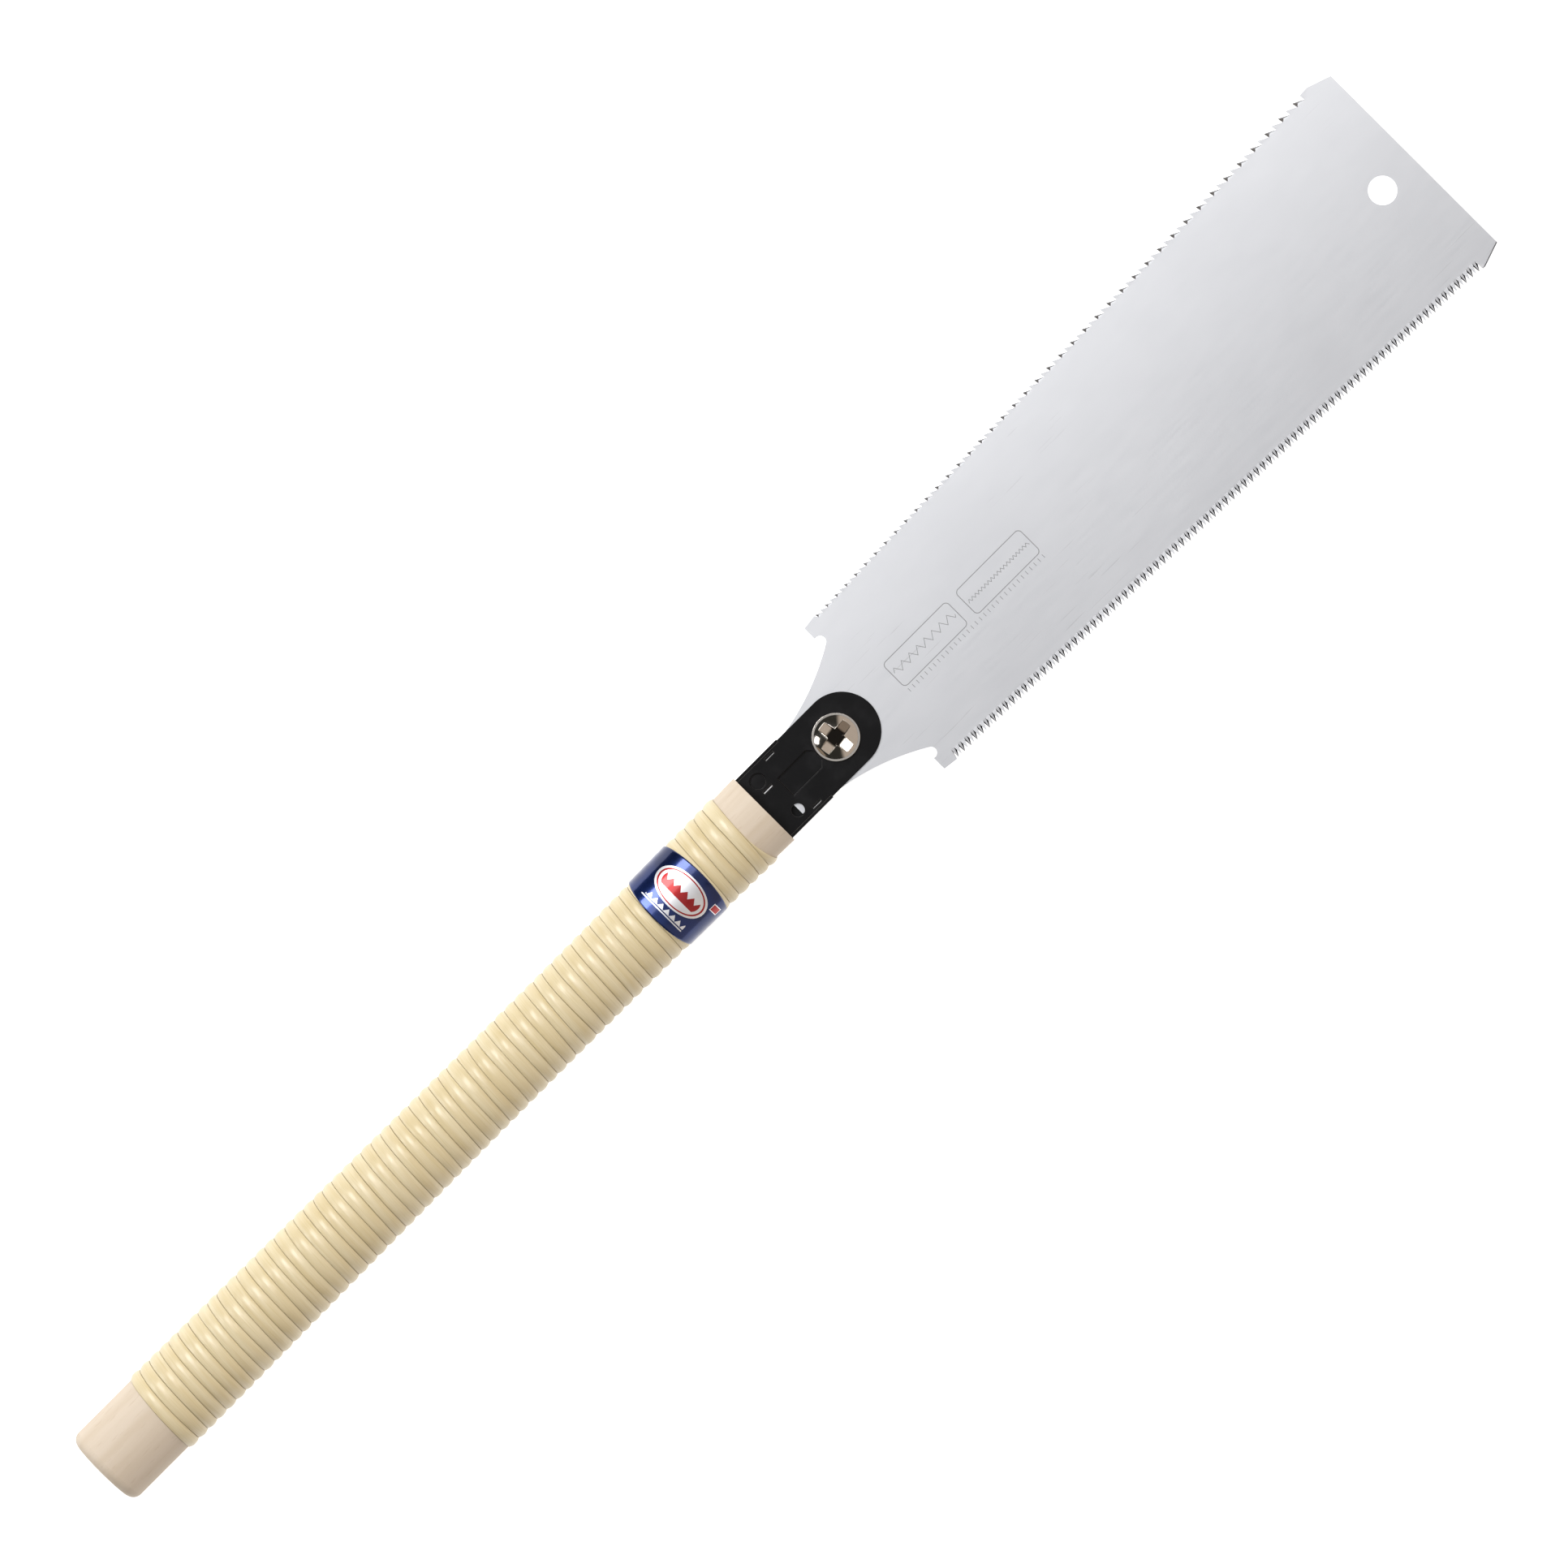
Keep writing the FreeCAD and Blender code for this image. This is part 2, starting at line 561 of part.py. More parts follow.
def head_cover_plate():
    """Upper plate with the screw hole, the key, the stop, the sight hole and the tab slots."""
    body = new_body("head_cover_plate", SCREW_X)
    plate = new_sketch(body, "cover_outline", "XY_Plane", PLATE_INSIDE)
    plate_outline(plate, "( %s - cover_clearance )" % WALL_INSIDE)
    pad = extrude(body, "Pad", "cover_plate", plate, "plate_thickness")
    doc.recompute()
    top = size(PLATE_OUTSIDE)
    rim = round_edges(body, "cover_rim", pad, "punch_round",
                      lambda middle, edge: abs(middle.z - top) < NEAR
                      and middle.x > -size("wall_front") + NEAR)
    body.Tip = rim
    for name, outline in (("key", key_outline), ("stop", stop_outline)):
        underside = new_sketch(body, name + "_underside", "XY_Plane", PLATE_INSIDE)
        outline(underside, "0")
        extrude(body, "Pad", name + "_pressed", underside, EMBOSS, reverse=True)
        hollow = new_sketch(body, name + "_hollow", "XY_Plane", PLATE_OUTSIDE)
        outline(hollow, "0 - press_wall" if name == "key" else "0")
        extrude(body, "Pocket", name + "_hollow_cut", hollow, EMBOSS)
    doc.recompute()
    pressed = round_edges(body, "pressed_rims", body.Tip, "press_round",
                          lambda middle, edge: abs(middle.z - top) < NEAR
                          and abs(middle.y) < size("side_tab_side")
                          and -size("head_back") + NEAR < middle.x < 0)
    body.Tip = pressed
    holes = new_sketch(body, "cover_holes", "XY_Plane", PLATE_OUTSIDE)
    draw_circle(holes, "0", "0", "shank_diameter / 2 + hole_clearance")
    draw_circle(holes, "0 - sight_place", "0 - sight_side", "sight_radius")
    extrude(body, "Pocket", "cover_holes_cut", holes, "plate_thickness")
    for name, place_x, place_y in TABS:
        slot = new_sketch(body, name + "_slot", "XY_Plane", PLATE_OUTSIDE)
        tab_rectangle(slot, place_x, place_y, "tab_clearance")
        extrude(body, "Pocket", name + "_slot_cut", slot, "plate_thickness")
    return body


head_back_plate()
head_cover_plate()


# ---------------------------------------------------------------- clamp: nut, washer, screw

def clamp_nut():
    """Hexagon nut below the back plate, with a round spigot pressed into the plate."""
    hexagon = doc.addObject("Part::Prism", "nut_hexagon")
    hexagon.Polygon = 6
    hexagon.setExpression("Circumradius", in_sheet("nut_flats / sqrt ( 3 )"))
    hexagon.setExpression("Height", in_sheet("nut_height"))
    hexagon.setExpression("Placement.Base.z", in_sheet("0 - nut_height"))
    crown = doc.addObject("Part::Cone", "nut_crown")
    crown.setExpression("Radius1", in_sheet("nut_flats / 2"))
    crown.setExpression("Radius2", in_sheet("nut_flats / 2 + nut_height * nut_crown"))
    crown.setExpression("Height", in_sheet("nut_height"))
    crown.setExpression("Placement.Base.z", in_sheet("0 - nut_height"))
    chamfered = doc.addObject("Part::Common", "nut_chamfered")
    chamfered.Base = hexagon
    chamfered.Tool = crown
    spigot = doc.addObject("Part::Cylinder", "nut_spigot_round")
    spigot.setExpression("Radius", in_sheet(SPIGOT))
    spigot.setExpression("Height", in_sheet("plate_thickness"))
    whole = doc.addObject("Part::Fuse", "nut_blank")
    whole.Base = chamfered
    whole.Tool = spigot
    bore = doc.addObject("Part::Cylinder", "nut_bore")
    bore.setExpression("Radius", in_sheet("shank_diameter / 2 + shank_clearance"))
    bore.setExpression("Height", in_sheet("nut_height + plate_thickness"))
    bore.setExpression("Placement.Base.z", in_sheet("0 - nut_height"))
    nut = doc.addObject("Part::Cut", "clamp_nut")
    nut.Label = "clamp_nut"
    nut.Base = whole
    nut.Tool = bore
    nut.setExpression("Placement.Base.x", in_sheet(SCREW_X))
    nut.setExpression("Placement.Base.z", in_sheet("%s - %s" % (MIDDLE_Z, PLATE_OUTSIDE)))
    return nut


def screw_washer():
    """Plain washer between the cover plate and the screw head."""
    body = new_body("screw_washer", SCREW_X)
    hole = "shank_diameter / 2 + hole_clearance"
    low = "%s + seat_gap" % PLATE_OUTSIDE
    turned(body, "washer_ring", [
        (hole, low),
        ("washer_diameter / 2", low),
        ("washer_diameter / 2", low + " + washer_thickness"),
        (hole, low + " + washer_thickness"),
    ])
    return body


def cross_outline(sketch, reach, arm):
    """Outline of an upright cross whose arms reach so far from its middle."""
    back_arm = "0 - " + arm
    back_reach = "0 - " + reach
    draw_outline(sketch, [
        (reach, back_arm), (reach, arm), (arm, arm), (arm, reach), (back_arm, reach),
        (back_arm, arm), (back_reach, arm), (back_reach, back_arm), (back_arm, back_arm),
        (back_arm, back_reach), (arm, back_reach), (arm, back_arm),
    ])


def clamp_screw():
    """Domed screw with a large cross recess."""
    body = new_body("clamp_screw", SCREW_X)
    radius = "( shank_diameter / 2 )"
    head = "( dome_diameter / 2 )"
    rim = "( %s + dome_rim )" % HEAD_SEAT
    top = "( %s + dome_height )" % HEAD_SEAT
    rise = "( dome_height - dome_rim )"
    # Centre of the dome's sphere: the arc passes the rim's edge and the top, on the axis.
    centre = "( %s - ( %s * %s + %s * %s ) / ( 2 * %s ) )" % (top, head, head, rise, rise, rise)
    turned(body, "screw_blank", [
        ("0", "0 - shank_end"),
        (radius + " - shank_chamfer", "0 - shank_end"),
        (radius, "0 - shank_end + shank_chamfer"),
        (radius, HEAD_SEAT),
        (head, HEAD_SEAT),
        (head, rim),
        ("0", top),
    ], {5: ("0", centre, "x")})
    floor = "( %s - recess_depth )" % top
    mouth = new_sketch(body, "recess_mouth", "XY_Plane", top)
    cross_outline(mouth, "recess_mouth", "( recess_arm_mouth / 2 )")
    bottom = new_sketch(body, "recess_floor", "XY_Plane", floor)
    cross_outline(bottom, "recess_floor", "( recess_arm_floor / 2 )")
    recess = loft(body, "SubtractiveLoft", "recess", [mouth, bottom])
    recess.Ruled = True
    body.setExpression("Placement.Rotation.Angle", in_sheet("recess_turn"))
    return body


clamp_nut()
screw_washer()
clamp_screw()


# ---------------------------------------------------------------- blade

def point(along, across):
    """Place on the blade's flat face."""
    return FreeCAD.Vector(along, across, 0)


def arc_edge(centre, radius, start_angle, end_angle):
    """Arc about a centre between two angles in radians, in the order given."""
    middle_angle = (start_angle + end_angle) / 2
    places = [point(centre.x + radius * math.cos(angle), centre.y + radius * math.sin(angle))
              for angle in (start_angle, middle_angle, end_angle)]
    return Part.Arc(*places).toShape(), places[0], places[2]


def crosscut_teeth(run):
    """Points and gullets of evenly spaced crosscut teeth over a run: (along, depth) pairs."""
    pitch = size("crosscut_pitch")
    count = int(run / pitch)
    profile = []
    for number in range(count):
        gullet = run - (count - number) * pitch
        profile.append((gullet, size("crosscut_depth")))
        profile.append((gullet + pitch * size("crosscut_lean"), 0.0))
    return profile


def rip_teeth(run):
    """Rip teeth whose pitch grows evenly from the heel to the toe: (along, depth) pairs."""
    first = size("rip_pitch_heel")
    start = size("rip_start")
    growth = (size("rip_pitch_toe") - first) / run
    count = int(math.log(1 + growth * run / first) / growth)
    profile = []
    for number in range(count):
        gullet = first / growth * (math.exp(growth * (number + start)) - 1)
        pitch = first + growth * gullet
        profile.append((gullet, pitch * size("rip_depth")))
        profile.append((gullet - pitch * size("rip_hook"), 0.0))
    return profile


def toothed_side(teeth):
    """Outline of one long side, from the legs to the tip, as edges and its last place."""
    legs = size("legs_width") / 2
    slot = size("shank_diameter / 2 + shank_room")
    neck_radius = size("neck_radius")
    neck_centre = point(-size("neck_start"), size("neck_width") / 2 + neck_radius)
    notch_radius = size("notch_radius")
    heel = size("heel_place")
    # The notch's circle touches the neck's curve from inside and is cut open by the heel.
    notch_x = heel + size("notch_ahead")
    along = notch_x - neck_centre.x
    notch_y = neck_centre.y - math.sqrt((neck_radius - notch_radius) ** 2 - along ** 2)
    notch_centre = point(notch_x, notch_y)
    touch = math.atan2(notch_y - neck_centre.y, along)
    shoulder = -math.acos((-size("shoulder_front") - neck_centre.x) / neck_radius)
    neck, neck_begin, neck_end = arc_edge(neck_centre, neck_radius, shoulder, touch)
    leave = math.acos((heel - notch_x) / notch_radius)
    notch, _, notch_end = arc_edge(notch_centre, notch_radius, touch, leave)
    corner = point(heel, size("heel_width") / 2)
    first = point(heel + size("heel_land"), corner.y + size("heel_rise"))
    toe = point(size("toe_place"), size("toe_width") / 2)
    run = (toe - first).Length
    ahead = (toe - first).normalize()
    inward = point(ahead.y, -ahead.x)
    tips = [first + ahead * place + inward * depth for place, depth in teeth(run)]
    tip = point(size("blade_reach"), size("tip_width") / 2)
    edges = polyline([point(-size("legs_end"), slot), point(-size("legs_end"), legs),
                      point(-size("shoulder_back"), legs), neck_begin])
    edges.append(neck)
    edges.append(notch)
    edges += polyline([notch_end, corner, first] + tips + [toe, tip])
    return edges


def polyline(places):
    """Straight edges through the places, leaving out repeats."""
    return [Part.LineSegment(start, end).toShape()
            for start, end in zip(places, places[1:]) if (end - start).Length > NEAR]


def blade():
    """Flat blade with an open slot in its tang, two toothed edges and a hanging hole."""
    slot = size("shank_diameter / 2 + shank_room")
    half = size("tip_width") / 2
    reach = size("blade_reach")
    rip_side = toothed_side(rip_teeth)
    crosscut_side = [edge.mirror(point(0, 0), point(0, 1)) for edge in toothed_side(crosscut_teeth)]
    tip_end = Part.LineSegment(point(reach, half), point(reach, -half)).toShape()
    slot_end = Part.Arc(point(0, slot), point(slot, 0), point(0, -slot)).toShape()
    legs = [Part.LineSegment(point(-size("legs_end"), side * slot), point(0, side * slot)).toShape()
            for side in (1, -1)]
    loose = rip_side + [tip_end] + crosscut_side + legs + [slot_end]
    outline = Part.Wire(Part.__sortEdges__(loose))
    sheet_metal = Part.Face(outline).extrude(FreeCAD.Vector(0, 0, size("blade_thickness")))
    hole = Part.makeCylinder(size("hang_radius"), size("blade_thickness"),
                             point(size("hang_place"), 0))
    feature = doc.addObject("Part::Feature", "blade")
    feature.Label = "blade"
    feature.Shape = sheet_metal.cut(hole)
    feature.setExpression("Placement.Base.x", in_sheet(SCREW_X))
    feature.setExpression("Placement.Base.z", in_sheet("%s - blade_thickness / 2" % MIDDLE_Z))
    return feature


blade()

# ---------------------------------------------------------------- check and write

NODES = ["handle_half_upper", "handle_half_lower", "rattan_wrap", "label_band", "tang_pins",
         "head_back_plate", "head_cover_plate", "clamp_nut", "screw_washer", "clamp_screw",
         "blade"]

doc.recompute()
for item in doc.Objects:
    if "Invalid" in item.State or "Error" in item.State:
        raise RuntimeError("%s failed: %s" % (item.Label, item.State))
shapes = {}
for label in NODES:
    shape = doc.getObjectsByLabel(label)[0].Shape
    if shape.isNull() or not shape.isValid():
        raise RuntimeError("%s has no valid shape" % label)
    shapes[label] = shape

os.makedirs("parts", exist_ok=True)
for label, shape in shapes.items():
    shape.exportStep("parts/%s.step" % label)
    print("%-20s solids %d  volume %10.1f mm3" % (label, len(shape.Solids), shape.Volume))
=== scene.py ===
"""Looks of a double-edged pull saw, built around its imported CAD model.

The saw lies flat: +X runs from the butt of the handle to the tip of the blade, +Y crosses the blade
towards its rip teeth and +Z is up.  Lengths are in metres; MM turns a workshop size into metres.
"""
import math

import bpy
import numpy as np
from mathutils import Matrix, Vector
from mathutils.geometry import delaunay_2d_cdt


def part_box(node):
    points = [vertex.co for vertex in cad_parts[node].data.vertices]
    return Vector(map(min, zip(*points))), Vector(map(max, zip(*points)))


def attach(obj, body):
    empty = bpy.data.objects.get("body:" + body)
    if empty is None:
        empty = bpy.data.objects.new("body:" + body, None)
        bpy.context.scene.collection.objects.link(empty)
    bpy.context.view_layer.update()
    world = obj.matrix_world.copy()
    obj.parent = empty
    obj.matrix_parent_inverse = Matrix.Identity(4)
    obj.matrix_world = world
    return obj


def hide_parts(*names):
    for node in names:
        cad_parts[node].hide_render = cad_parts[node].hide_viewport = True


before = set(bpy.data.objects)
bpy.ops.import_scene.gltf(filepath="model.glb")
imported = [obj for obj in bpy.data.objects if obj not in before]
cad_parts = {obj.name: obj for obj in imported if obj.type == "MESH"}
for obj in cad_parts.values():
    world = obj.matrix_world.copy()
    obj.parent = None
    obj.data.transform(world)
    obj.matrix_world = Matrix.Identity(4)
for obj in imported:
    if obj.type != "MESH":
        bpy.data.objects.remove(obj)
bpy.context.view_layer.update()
MM = 0.001


# ------------------------------------------------------------------ handle core
# The core is two halves of pale, straight-grained softwood, split along the blade's plane.
# They are turned oval, bored for the tang and glued; bare wood shows at the butt and the collar.

def add(tree, kind, sockets=None, **settings):
    """Node of a kind; sockets maps an input to a value or to another node's output."""
    made = tree.nodes.new("ShaderNode" + kind)
    for word, value in settings.items():
        setattr(made, word, value)
    for socket, value in (sockets or {}).items():
        if isinstance(value, bpy.types.NodeSocket):
            tree.links.new(value, made.inputs[socket])
        else:
            made.inputs[socket].default_value = value
    return made


def maths(tree, operation, *values):
    """Output of a math node on numbers or other outputs."""
    return add(tree, "Math", dict(enumerate(values)), operation=operation).outputs[0]


def mixed(tree, share, first, second):
    """Colour that goes from the first to the second as share goes from 0 to 1."""
    node = add(tree, "Mix", data_type="RGBA")
    for socket, value in ((0, share), (6, first), (7, second)):
        if isinstance(value, bpy.types.NodeSocket):
            tree.links.new(value, node.inputs[socket])
        else:
            node.inputs[socket].default_value = value
    return node.outputs[2]


def steps(tree, value, low, high):
    """0 below low, 1 above high, and smooth between them."""
    node = add(tree, "MapRange", {0: value, 1: low, 2: high, 3: 0.0, 4: 1.0},
               interpolation_type="SMOOTHSTEP")
    return node.outputs[0]


def noise(tree, place, scale, detail=2.0, stretch=(1, 1, 1)):
    """Noise from 0 to 1; stretch multiplies the scale along each axis."""
    turned = add(tree, "Mapping", {0: place, 3: stretch})
    node = add(tree, "TexNoise", {"Vector": turned.outputs[0], "Scale": scale, "Detail": detail})
    return node.outputs[0]


def bump(tree, height, strength, distance, rolled=0.0):
    """Normal for a height between 0 and 1 of so many metres, over edges rolled to a radius."""
    sockets = {"Height": height, "Strength": strength, "Distance": distance}
    if rolled:
        sockets["Normal"] = add(tree, "Bevel", {"Radius": rolled}, samples=6).outputs[0]
    return add(tree, "Bump", sockets).outputs[0]


def new_finish(name, **shader):
    """Material with one Principled shader whose plain values are given by word."""
    material = bpy.data.materials.new(name)
    material.use_nodes = True
    tree = material.node_tree
    tree.nodes.clear()
    surface = add(tree, "BsdfPrincipled")
    for word, value in shader.items():
        surface.inputs[word.replace("_", " ")].default_value = value
    out = add(tree, "OutputMaterial", {0: surface.outputs[0]})
    place = add(tree, "TexCoord").outputs["Object"]
    return material, tree, surface, place


def use(tree, surface, **links):
    """Link outputs to the shader's inputs by word."""
    for word, output in links.items():
        tree.links.new(output, surface.inputs[word.replace("_", " ")])


def dress(node, material):
    """Give a CAD node its finish, in place of the plain one it came with."""
    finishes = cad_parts[node].data.materials
    finishes.clear()
    finishes.append(material)


PALE_WOOD = (0.615, 0.527, 0.425, 1)
LATE_WOOD = (0.57, 0.477, 0.367, 1)
FIBRE = (0.47, 0.36, 0.25, 1)
FIBRE_SHARE = 0.28

wood, tree, surface, place = new_finish("bare_wood", Roughness=0.62, Specular_IOR_Level=0.3)
rings = noise(tree, place, 260, 3.0, (0.05, 1, 1))
fibres = noise(tree, place, 2600, 2.0, (0.07, 1, 1))
pores = noise(tree, place, 1500, 1.0, (0.12, 1, 1))
colour = mixed(tree, steps(tree, rings, 0.35, 0.75), PALE_WOOD, LATE_WOOD)
fibre = maths(tree, "MULTIPLY", steps(tree, pores, 0.62, 0.74), FIBRE_SHARE)
use(tree, surface, Base_Color=mixed(tree, fibre, colour, FIBRE),
    Normal=bump(tree, fibres, 0.35, 0.12 * MM))
for half in ("handle_half_upper", "handle_half_lower"):
    dress(half, wood)


# ------------------------------------------------------------------ tang pins
# Two steel pins cross the core and the tang.  They are ground wire, driven in before the wrap
# goes on, so nothing of them shows on the finished handle.

STEEL = (0.56, 0.56, 0.57, 1)

pin_steel, tree, surface, place = new_finish("pin_steel", Metallic=1.0, Base_Color=STEEL)
drawn = noise(tree, place, 3000, 2.0, (1, 1, 0.03))
use(tree, surface, Roughness=maths(tree, "MULTIPLY_ADD", drawn, 0.2, 0.25))
dress("tang_pins", pin_steel)


# ------------------------------------------------------------------ head plates
# Two plates of mild steel, pressed and blackened.  The back plate has the tang, the folded side
# walls and three tabs; the tabs' ends are ground bright where they come through the cover.

BLACK = (0.003, 0.003, 0.0035, 1)
WORN_BLACK = (0.009, 0.009, 0.010, 1)
# Lighter grey laid along every edge of the plates: partly rubbed paint, partly painted highlight.
RUBBED_AND_LIT_EDGE = (0.11, 0.105, 0.10, 1)
EDGE_RUB_AND_GLINT_RADIUS = 0.16 * MM
# The tabs' ends are all of the back plate that is this high.
TAB_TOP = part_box("head_cover_plate")[1].z - 0.32 * MM
# Ground lines on the tabs' ends: middle across the saw and half width, in mm.
GROUND_LINES = ((11.08, 0.07), (3.58, 0.20), (-11.7, 0.06))


def band(tree, value, middle, half):
    """1 where value is within half of middle, else 0."""
    away = maths(tree, "ABSOLUTE", maths(tree, "SUBTRACT", value, middle))
    return maths(tree, "LESS_THAN", away, half)


def blackening(tree, place):
    """Colour, roughness and normal of a fine-grained blackened sheet, lighter grey at its edges,
    partly rubbed paint and partly painted highlight.

    An edge is where the normal of the edges rolled to a radius leaves the true normal.
    """
    cloud = noise(tree, place, 120, 3.0)
    grit = noise(tree, place, 5200, 2.0)
    colour = mixed(tree, steps(tree, cloud, 0.4, 0.8), BLACK, WORN_BLACK)
    rolled = add(tree, "Bevel", {"Radius": EDGE_RUB_AND_GLINT_RADIUS}, samples=6).outputs[0]
    facing = add(tree, "VectorMath", {0: rolled, 1: add(tree, "NewGeometry").outputs["Normal"]},
                 operation="DOT_PRODUCT").outputs["Value"]
    # The edges get the lighter grey: partly rubbed paint, partly painted highlight.
    rubbed = maths(tree, "SUBTRACT", 1.0, steps(tree, facing, 0.90, 0.99))
    colour = mixed(tree, rubbed, colour, RUBBED_AND_LIT_EDGE)
    rough = maths(tree, "MULTIPLY_ADD", cloud, 0.12, 0.36)
    return colour, rough, bump(tree, grit, 0.12, 0.03 * MM, 0.2 * MM)


black_cover, tree, surface, place = new_finish("black_cover", Specular_IOR_Level=0.11)
colour, rough, normal = blackening(tree, place)
use(tree, surface, Base_Color=colour, Roughness=rough, Normal=normal)
dress("head_cover_plate", black_cover)

black_back, tree, surface, place = new_finish("black_back", Specular_IOR_Level=0.11)
colour, rough, normal = blackening(tree, place)
axes = add(tree, "SeparateXYZ", {0: place}).outputs
high = maths(tree, "GREATER_THAN", axes[2], TAB_TOP)
lines = [band(tree, axes[1], middle * MM, half * MM) for middle, half in GROUND_LINES]
lines = maths(tree, "MAXIMUM", maths(tree, "MAXIMUM", lines[0], lines[1]), lines[2])
bright = maths(tree, "MULTIPLY", high, lines)
use(tree, surface, Base_Color=mixed(tree, bright, colour, STEEL), Roughness=rough, Normal=normal,
    Metallic=bright)
dress("head_back_plate", black_back)


# ------------------------------------------------------------------ rattan wrap
# One long strip of split rattan, wound round the core with its glossy skin outwards.  Each turn
# is pulled tight against the last; the strip tapers at both ends, where it is glued down.

STATIONS = np.array([30.0, 100.0, 190.0, 316.2])
HALF_WIDTHS = np.array([29.7, 28.5, 27.2, 29.3]) / 2
HALF_HEIGHTS = np.array([24.6, 23.5, 22.4, 24.2]) / 2
BUTT_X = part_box("handle_half_upper")[0].x / MM
MIDDLE_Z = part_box("handle_half_upper")[0].z / MM
WRAP_START, WRAP_END = 24.0, 309.6
PITCH = 4.55
WRAP_THICK = 0.95
STRIP_EDGE = 0.30
STEPS_A_TURN = 44
METRES_A_TURN = 0.09
# Shares: of a pitch that a seam wanders, of the crown that a turn tilts, of the room between two
# seams that the strip fills, and of its width that is left at its two points.
SEAM_WANDER, TILT, STRIP_FILL, POINT_LEFT = 0.06, 0.09, 0.992, 0.04
CROWN_POWER = 2.3


def core_oval(station):
    """Half width and half height of the core at a distance in mm from its butt.

    One cubic runs through each row of four measured ovals; the butt behind the first is straight.
    """
    held = np.maximum(station, STATIONS[0])
    wide = np.polyval(np.polyfit(STATIONS, HALF_WIDTHS, 3), held)
    tall = np.polyval(np.polyfit(STATIONS, HALF_HEIGHTS, 3), held)
    return wide, tall


def on_handle(station, angle, height):
    """Points in metres at a height over the core; angle 0 faces up and grows towards +Y."""
    wide, tall = core_oval(station)
    across = (wide + height) * np.sin(angle)
    up = (tall + height) * np.cos(angle)
    return np.stack(np.broadcast_arrays(BUTT_X + station, across, MIDDLE_Z + up), -1) * MM


def carried_faces(rows, columns):
    """Quads of a closed profile of so many columns carried along so many rows, with its two ends."""
    row = np.arange(rows - 1)[:, None] * columns
    column = np.arange(columns)[None, :]
    following = (column + 1) % columns
    quads = np.stack([row + column, row + following, row + columns + following,
                      row + columns + column], -1).reshape(-1, 4)
    ends = [list(range(columns))[::-1], list(range((rows - 1) * columns, rows * columns))]
    return quads.tolist() + ends


def new_piece(name, points, faces, materials, body, nodes, smooth=True, marks=None):
    """Mesh from points and faces that rides on a body and stands for the CAD nodes."""
    mesh = bpy.data.meshes.new(name)
    mesh.from_pydata(np.asarray(points, float).reshape(-1, 3).tolist(), [], faces)
    for word, values in (marks or {}).items():
        layer = mesh.attributes.new(word, "FLOAT", "POINT")
        layer.data.foreach_set("value", np.asarray(values, np.float32).ravel())
    for material in materials:
        mesh.materials.append(material)
    mesh.polygons.foreach_set("use_smooth", [smooth] * len(mesh.polygons))
    mesh.update()
    thing = bpy.data.objects.new(name, mesh)
    bpy.context.scene.collection.objects.link(thing)
    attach(thing, body)
    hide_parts(*nodes)
    return thing


turns = (WRAP_END - WRAP_START) / PITCH - 1
unwound = np.linspace(0, turns, int(turns * STEPS_A_TURN))
rng = np.random.default_rng(7)
waves = rng.uniform(0.35, 1.9, 24), rng.uniform(0, 2 * math.pi, 24), rng.uniform(-1, 1, 24)


def unevenness(turn, shift):
    """Smooth wandering value near -1 to 1: a sum of sines of uneven length, by turn."""
    speed, start, size = waves
    return (size * np.sin(2 * math.pi * speed * turn[..., None] + start + shift)).sum(-1) / 3


def seam(turn):
    """Station of the line between two turns, which wanders a little from the true helix."""
    inside = np.clip(np.minimum(turn, turns + 1 - turn), 0, 1)
    return WRAP_START + PITCH * (turn + SEAM_WANDER * unevenness(turn, 0.0) * inside)


# The strip is a closed profile of 14 points carried along the helix.  Its edges are the seams
# before and after it, it is domed as 1 - |across|^CROWN_POWER, each turn tilts a little, and over
# TAPER of a turn its lead and its tail come down to a thin point.
TAPER = 0.35
PROFILE = np.array([-1, -0.93, -0.8, -0.55, -0.25, 0, 0.25, 0.55, 0.8, 0.93, 1, 0.9, 0, -0.9])
SKIN = 11
lead = np.clip(unwound / TAPER, 0, 1)
tail = np.clip((turns - unwound) / TAPER, 0, 1)
lead, tail = lead * lead * (3 - 2 * lead), tail * tail * (3 - 2 * tail)
before, after = seam(unwound), seam(unwound + 1)
near_edge = after + (before - after) * np.maximum(lead, POINT_LEFT)
far_edge = before + (after - before) * np.maximum(tail, POINT_LEFT)
skin = np.arange(len(PROFILE)) < SKIN
crown = np.where(skin, 1 - np.abs(PROFILE) ** CROWN_POWER, 0)
tilt = TILT * unevenness(unwound, 2.0)[:, None] * PROFILE * skin
middle, half = (near_edge + far_edge)[:, None] / 2, (far_edge - near_edge)[:, None] / 2
station = middle + half * PROFILE * STRIP_FILL
thick = (WRAP_THICK * np.minimum(0.25 + lead * tail, 1.0))[:, None]
edge_height = np.minimum(STRIP_EDGE, thick * 0.5)
height = edge_height + (thick - edge_height) * (crown * (1 - np.abs(tilt)) + tilt * 0.6)
height = np.where(skin, height, 0.0)
angle = math.pi / 2 + 2 * math.pi * unwound[:, None]

